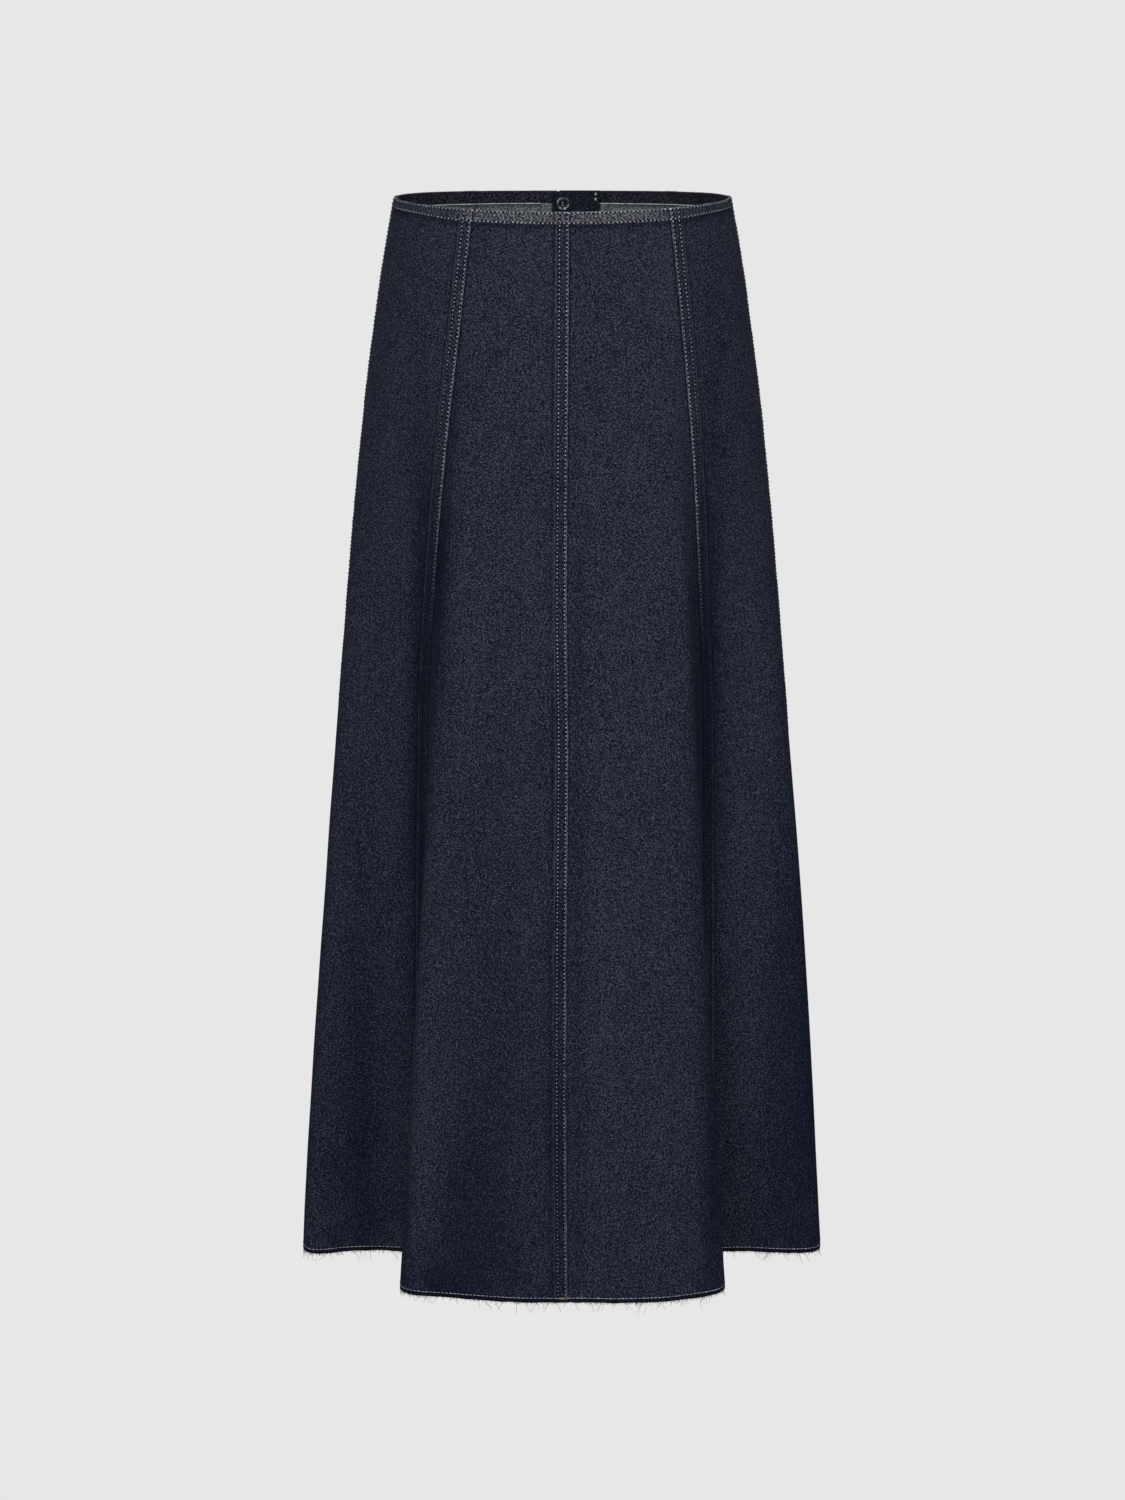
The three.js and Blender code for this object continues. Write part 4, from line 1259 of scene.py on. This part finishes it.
def zip_teeth(name, side, node):
    middle = sum(TEETH_INSETS) / 2
    thick = TEETH_INSETS[1] - TEETH_INSETS[0]
    block, count = tooth_block(TEETH_HALF, 1.5, thick)
    points, faces = [], []
    depth = TEETH_TOP + (0.25 + 0.5 * (side > 0)) * TOOTH_PITCH
    while depth < ZIP_LENGTH - 0.8:
        matrix = back_frame(0, depth, middle)
        first = len(points)
        points += [tuple((matrix @ Vector((-side * x, y, z))) * MM) for x, y, z in block]
        ring = [(first + j, first + (j + 1) % count) for j in range(count)]
        sides = [(a, b, b + count, a + count) for a, b in ring]
        caps = [tuple(range(first, first + count))[::-1], tuple(range(first + count, first + 2 * count))]
        found = sides + caps
        faces += found if side > 0 else [f[::-1] for f in found]
        depth += TOOTH_PITCH
    mesh = mesh_from(name, points, faces, smooth_shade=False)
    mesh.materials.append(METAL)
    fix = bmesh.new()
    fix.from_mesh(mesh)
    bmesh.ops.recalc_face_normals(fix, faces=fix.faces)
    fix.to_mesh(mesh)
    fix.free()
    carried(new_object(name, mesh), node)


def zip_tape(word, side):
    rows = (0.3, 3, 8, TEETH_TOP, 40, 60, 85, 110, 130, 150, 165, ZIP_LENGTH)
    inner_edge, outer_edge = TEETH_HALF + 0.3, TAPE_WIDTH
    distances = np.linspace(inner_edge, outer_edge, 7)
    if side < 0:
        distances = -distances[::-1]
    node = "zip_tape_" + word
    mesh = strip_mesh("woven_" + node, SEAM_BACK, rows, distances, TAPE_INSETS, TAPE, TAPE)
    strip_piece("woven_" + node, mesh, (outer_edge - inner_edge, ZIP_LENGTH - rows[0]), node)
    zip_teeth("teeth_" + word, side, "zip_teeth_" + word)


for word, side in (("left", 1), ("right", -1)):
    zip_tape(word, side)


def block_part(bm, size, centre, bevel):
    made = bmesh.ops.create_cube(bm, size=1.0)
    verts = made["verts"]
    bmesh.ops.scale(bm, vec=Vector(size), verts=verts)
    bmesh.ops.translate(bm, vec=Vector(centre), verts=verts)
    edges = list({edge for vert in verts for edge in vert.link_edges})
    bmesh.ops.bevel(bm, geom=edges, offset=bevel, segments=2, profile=0.5, affect="EDGES")


def metal_piece(name, bm, matrix, node, body):
    scale = Matrix.Diagonal((MM, MM, MM, 1))
    bmesh.ops.transform(bm, matrix=scale @ matrix, verts=bm.verts)
    bmesh.ops.recalc_face_normals(bm, faces=bm.faces)
    mesh = bpy.data.meshes.new(name)
    bm.to_mesh(mesh)
    bm.free()
    mesh.polygons.foreach_set("use_smooth", [True] * len(mesh.polygons))
    mesh.set_sharp_from_angle(angle=math.radians(38))
    mesh.materials.append(METAL)
    carried(new_object(name, mesh), node, body)


SLIDER_SIZE = (8.4, 1.2, 10.0)
SLIDER_DEPTH = 12.0
SLIDER_IN = 2.7
BRIDGE = {"width": 1.6, "rise": 2.7, "length": 8.0, "bar": 0.8}
HINGE_OUT = 2.45
TAB_LEAN = 4.5
TAB = {"width": 5.2, "tip": 4.2, "length": 22.0, "thick": 1.0, "window": 3.0, "window_end": 4.8}


def slider():
    width, plate, height = SLIDER_SIZE
    bm = bmesh.new()
    block_part(bm, (width, plate, height), (0, plate / 2, 0), 0.45)
    block_part(bm, (2 * TEETH_HALF, SLIDER_IN + 0.3, height - 0.4), (0, -SLIDER_IN / 2, 0), 0.3)
    block_part(bm, (width, 0.6, height), (0, -SLIDER_IN - 0.3, 0), 0.2)
    rise, bar, length = BRIDGE["rise"], BRIDGE["bar"], BRIDGE["length"]
    for end in (-1, 1):
        foot = (0, plate + rise / 2 - 0.15, end * (length - bar) / 2)
        block_part(bm, (BRIDGE["width"], rise, bar), foot, 0.18)
    block_part(bm, (BRIDGE["width"], bar, length), (0, plate + rise - bar / 2, 0), 0.25)
    metal_piece("slider", bm, back_frame(0, SLIDER_DEPTH, 0), "zip_slider", BODY)


def pull_tab():
    half, tip, thick = TAB["width"] / 2, TAB["tip"] / 2, TAB["thick"]
    outline = [(-half, thick / 2)]
    lowest = tip - TAB["length"]
    half_turn = np.linspace(math.pi, 2 * math.pi, 15)
    outline += [(tip * math.cos(a), lowest + tip * math.sin(a)) for a in half_turn]
    outline += [(half, thick / 2)]
    w, end, cut = TAB["window"] / 2, -TAB["window_end"], 0.8
    window = [(-w, -thick / 2), (-w, end + cut), (-w + cut, end)]
    window += [(w - cut, end), (w, end + cut), (w, -thick / 2)]
    curve = bpy.data.curves.new("tab_outline", "CURVE")
    curve.dimensions = "2D"
    curve.fill_mode = "BOTH"
    for ring in (outline, window):
        spline = curve.splines.new("POLY")
        spline.points.add(len(ring) - 1)
        for point, (x, z) in zip(spline.points, ring):
            point.co = (x, z, 0, 1)
        spline.use_cyclic_u = True
    bevel = 0.18
    curve.offset = -bevel
    curve.extrude = thick / 2 - bevel
    curve.bevel_depth = bevel
    curve.bevel_resolution = 2
    shape = new_object("tab_outline", curve)
    mesh = bpy.data.meshes.new_from_object(shape.evaluated_get(bpy.context.evaluated_depsgraph_get()))
    bpy.data.objects.remove(shape)
    bm = bmesh.new()
    bm.from_mesh(mesh)
    bmesh.ops.remove_doubles(bm, verts=bm.verts, dist=0.002)
    stand = Matrix.Rotation(math.pi / 2, 4, "X")
    hinge = Matrix.Translation(Vector((0, HINGE_OUT, 0))) @ Matrix.Rotation(-math.radians(TAB_LEAN), 4, "X")
    metal_piece("pull_tab_plate", bm, back_frame(0, SLIDER_DEPTH, 0) @ hinge @ stand, "pull_tab", "pull_tab")


def bottom_stop():
    bm = bmesh.new()
    block_part(bm, (3.6, 2.2, 2.4), (0, 0, 0), 0.4)
    metal_piece("stop", bm, back_frame(0, ZIP_LENGTH + 0.3 + 1.4, 1.3), "zip_bottom_stop", BODY)


slider()
pull_tab()
bottom_stop()


# Zip guard behind the top of the zip, with its button
GUARD = {"left": 8.3, "right": 33.0, "length": 188.0, "corner": 6.0, "inset": 3.6, "cloth": 1.5}
BUTTON = {"radius": 5.75, "thick": 2.6, "depth": 10.7, "x": 0.4, "hole": 0.8, "hole_out": 1.5}
TURNED_INSETS = (2.55, 3.2)


def guard_corner(distance):
    to_edge = GUARD["left"] - distance
    corner = GUARD["corner"]
    if to_edge >= corner:
        return 0
    return corner - math.sqrt(corner**2 - (corner - to_edge) ** 2)


def zip_guard():
    across = [*np.linspace(-GUARD["right"], GUARD["left"] - 6.2, 26)]
    across += [GUARD["left"] - GUARD["corner"] * share for share in (0.8, 0.6, 0.42, 0.28, 0.16, 0.07, 0.02)]
    across.append(GUARD["left"])
    rows = (-0.9, -0.4, 0.2, 1, 2, 4, 7, 11, 16, 24, 36, 50, 70, 90, 110, 130, 150, 170, 184, GUARD["length"])
    insets = (GUARD["inset"], GUARD["inset"] + GUARD["cloth"])
    name, cloth = "cloth_zip_guard", GUARD_DENIM
    mesh = strip_mesh(name, SEAM_BACK, rows, across, insets, cloth, cloth, top=guard_corner)
    strip_piece(name, mesh, (GUARD["left"] + GUARD["right"], GUARD["length"]), "zip_guard")


def inside_place(distance, depth, inset):
    at = np.array([distance])
    return (surface(SEAM_BACK, at, depth) - outwards(SEAM_BACK, at, depth) * inset)[0]


def overlocking(name, start, end, face, rows):
    """Slanting loops of thread that bind a raw edge on the wrong side."""
    lines = []
    for depth in np.arange(rows[0], rows[1], 1.25):
        for reach, slant in ((1, 0.7), (0.55, -0.7)):
            span = (end - start) * reach
            steps = (0, 0.12, 0.88, 1)
            lines.append([inside_place(start + span * t, depth + slant * t, face) for t in steps])
    thread_piece(name, lines, 0.4, OVERLOCK, sides=4)


def turned_edge(name, rows, cloth):
    """Cloth folded back over the free tape, beside the guard's rounded corner."""
    across = np.linspace(GUARD["left"] + 0.5, FACING_FROM_ZIP + 4.9, 8)
    mesh = strip_mesh(name, SEAM_BACK, rows, across, TURNED_INSETS, cloth, cloth)
    strip_piece(name, mesh, (np.ptp(across), rows[-1] - rows[0]))


def guard_sewing():
    """Rows along the guard's edges, and the bar tack at its top."""
    face = GUARD["inset"] + GUARD["cloth"] + 0.05
    edge = [inside_place(-GUARD["right"] + 2, d, face) for d in np.linspace(2, 185, 60)]
    hem = [inside_place(GUARD["left"] - 2, d, face) for d in np.linspace(7, 185, 60)]
    top = [inside_place(d, 1.6, face) for d in np.linspace(-GUARD["right"] + 2, GUARD["left"] - 7, 20)]
    sewn("stitches_guard", [edge, hem, top], DARK_SEWING)
    tack_x = GUARD["right"] - 3.4
    tack = []
    for k in (0, 1, 2, 6, 7, 8):
        depth = 1.2 + k * 0.8
        tack.append([inside_place(-tack_x - 1.1, depth, face), inside_place(-tack_x + 1.1, depth, face)])
    thread_piece("bar_tack_guard", [np.linspace(a, b, 4) for a, b in tack], TACK_RADIUS, WHITE_SEWING)


def button():
    """Four-hole resin button with a raised rim, and the thread that holds it."""
    radius, thick = BUTTON["radius"], BUTTON["thick"]
    profile = [(0, 0), (radius - 1.3, 0), (radius - 0.6, 0.25), (radius - 0.1, 0.8), (radius, 1.3)]
    profile += [(radius - 0.05, 1.8), (radius - 0.3, 2.3), (radius - 0.75, thick), (radius - 1.15, 2.45)]
    profile += [(radius - 1.6, 2.0), (radius - 2.1, 1.74), (0, 1.7)]
    bm = bmesh.new()
    turns = 48
    angles = np.arange(turns) * 2 * math.pi / turns
    rings = []
    for r, y in profile:
        ring = [(r * math.cos(a), y, r * math.sin(a)) for a in angles] if r else [(0, y, 0)]
        rings.append([bm.verts.new(point) for point in ring])
    for low, high in zip(rings, rings[1:]):
        for k in range(turns):
            pairs = ((low, k), (low, k + 1), (high, k + 1), (high, k))
            bm.faces.new(list(dict.fromkeys(ring[at % len(ring)] for ring, at in pairs)))
    bmesh.ops.recalc_face_normals(bm, faces=bm.faces)
    mesh = bpy.data.meshes.new("button_disc")
    bm.to_mesh(mesh)
    bm.free()
    disc = new_object("button_disc", mesh)
    hole, hole_out = BUTTON["hole"], BUTTON["hole_out"]
    for k in range(4):
        angle = math.pi / 4 + k * math.pi / 2
        bore = bmesh.new()
        bmesh.ops.create_cone(bore, cap_ends=True, segments=14, radius1=hole, radius2=hole, depth=8)
        stand = Matrix.Rotation(math.pi / 2, 4, "X")
        shift = Vector((hole_out * math.cos(angle), 1, hole_out * math.sin(angle)))
        bmesh.ops.transform(bore, matrix=Matrix.Translation(shift) @ stand, verts=bore.verts)
        bore_mesh = bpy.data.meshes.new("bore")
        bore.to_mesh(bore_mesh)
        bore.free()
        cutter = new_object("bore", bore_mesh)
        cut = disc.modifiers.new("bore", "BOOLEAN")
        cut.operation = "DIFFERENCE"
        cut.solver = "EXACT"
        cut.object = cutter
        result = bpy.data.meshes.new_from_object(disc.evaluated_get(bpy.context.evaluated_depsgraph_get()))
        disc.modifiers.clear()
        disc.data = result
        bpy.data.objects.remove(cutter)
    # Marks the rim, which the resin material paints paler as a painted highlight
    reach = np.array([math.hypot(v.co.x, v.co.z) for v in disc.data.vertices])
    rim = disc.data.attributes.new("rim", "FLOAT", "POINT")
    rim.data.foreach_set("value", smooth(radius - 1.7, radius - 1.0, reach).astype(np.float32))
    frame_in = back_frame(BUTTON["x"], BUTTON["depth"], GUARD["inset"] + GUARD["cloth"] + 0.3)
    turned = Matrix.Rotation(math.pi, 4, "X")
    scale = Matrix.Diagonal((MM, MM, MM, 1))
    place = scale @ frame_in @ turned
    disc.data.transform(place)
    disc.data.polygons.foreach_set("use_smooth", [True] * len(disc.data.polygons))
    disc.data.set_sharp_from_angle(angle=math.radians(40))
    disc.data.materials.clear()
    disc.data.materials.append(RESIN)
    carried(disc, "waist_button")
    out = hole_out * math.cos(math.pi / 4)
    lines = []
    for z in (-out, out):
        for shift in (-0.25, 0.25):
            steps = np.linspace(-out, out, 7)
            arch = [(x, 1.7 + 0.75 * math.cos(x / out * math.pi / 2) - 0.5, z + shift) for x in steps]
            lines.append([tuple((frame_in @ turned) @ Vector(p)) for p in arch])
    thread_piece("button_thread", lines, 0.3, HEM_SEWING, sides=6)


zip_guard()
guard_sewing()
overlocking("overlock_right", -GUARD["right"] - 0.8, -GUARD["right"] - 6.6, 2.1, (11.6, 184))
turned_edge("facing_end", (0.1, 3, 6, 9, FACING_DEPTH), FACING)
turned_edge("allowance_end", (FACING_DEPTH + 0.05, 14, 20, 40, 70, 100, 130, 160, 184), DENIM_BACK)
button()


# Room, light and camera
CAMERA_DISTANCE = 3.2
CAMERA_UP = 0.295
CAMERA_TILT = 13.7
FOCAL_PIXELS = 3732
PICTURE_HEIGHT = 1500
SENSOR = 36.0
PAPER_TONE = 0.799


def camera():
    data = bpy.data.cameras.new("camera")
    data.sensor_fit = "VERTICAL"
    data.sensor_height = SENSOR
    data.lens = FOCAL_PIXELS / PICTURE_HEIGHT * SENSOR
    obj = bpy.data.objects.new("camera", data)
    obj.location = (0, -CAMERA_DISTANCE, CAMERA_UP)
    obj.rotation_euler = (math.radians(90 - CAMERA_TILT), 0, 0)
    bpy.context.scene.collection.objects.link(obj)
    bpy.context.scene.camera = obj


def backdrop():
    """A pale glowing paper that curves up from the floor into a wall, and adds no light."""
    s = Shade("pale_paper")
    paper = s.finish({
        "Base Color": rgb(0, 0, 0),
        "Roughness": 1.0,
        "Specular IOR Level": 0.0,
        "Emission Color": rgb(PAPER_TONE, PAPER_TONE, PAPER_TONE),
        "Emission Strength": 1.0,
    })
    floor, half, bend, back, top = -1.75, 9.0, 1.5, 4.0, 7.0
    profile = [(-half, floor), (back, floor)]
    angles = np.linspace(0.1, math.pi / 2, 12)
    profile += [(back + bend * math.sin(a), floor + bend * (1 - math.cos(a))) for a in angles]
    profile.append((back + bend, top))
    swept = [(x, y, z) for y, z in profile for x in (-half, half)]
    corners = ((-half, back + bend), (-half, -half), (half, -half), (half, back + bend))
    walls = [(x, y, z) for x, y in corners for z in (floor, top)]
    for name, points in (("paper", swept), ("paper_walls", walls)):
        faces = [(k, k + 1, k + 3, k + 2) for k in range(0, len(points) - 2, 2)]
        mesh = mesh_from(name, points, faces)
        mesh.materials.append(paper)
        obj = new_object(name, mesh)
        obj.visible_diffuse = False
        obj.visible_glossy = False
        obj.visible_shadow = name == "paper"


def soft_light(name, place, aim, size, power):
    data = bpy.data.lights.new(name, "AREA")
    data.shape = "RECTANGLE"
    data.size, data.size_y = size
    data.energy = power
    obj = bpy.data.objects.new(name, data)
    obj.location = place
    obj.rotation_euler = (Vector(aim) - Vector(place)).to_track_quat("-Z", "Y").to_euler()
    bpy.context.scene.collection.objects.link(obj)


def lights():
    world = bpy.data.worlds.new("studio")
    world.use_nodes = True
    shade = world.node_tree.nodes["Background"]
    shade.inputs["Color"].default_value = rgb(1, 1, 1)
    shade.inputs["Strength"].default_value = 0.34
    bpy.context.scene.world = world
    middle = (0, 0, -0.45)
    soft_light("key", (-1.2, -3.5, 1.4), middle, (1.4, 1.8), 88)
    soft_light("fill", (1.9, -3.0, 1.0), middle, (1.6, 2.0), 48)
    soft_light("back", (0, 2.6, 1.8), middle, (2.4, 1.6), 40)
    bpy.context.scene.view_settings.view_transform = "Standard"


camera()
backdrop()
lights()
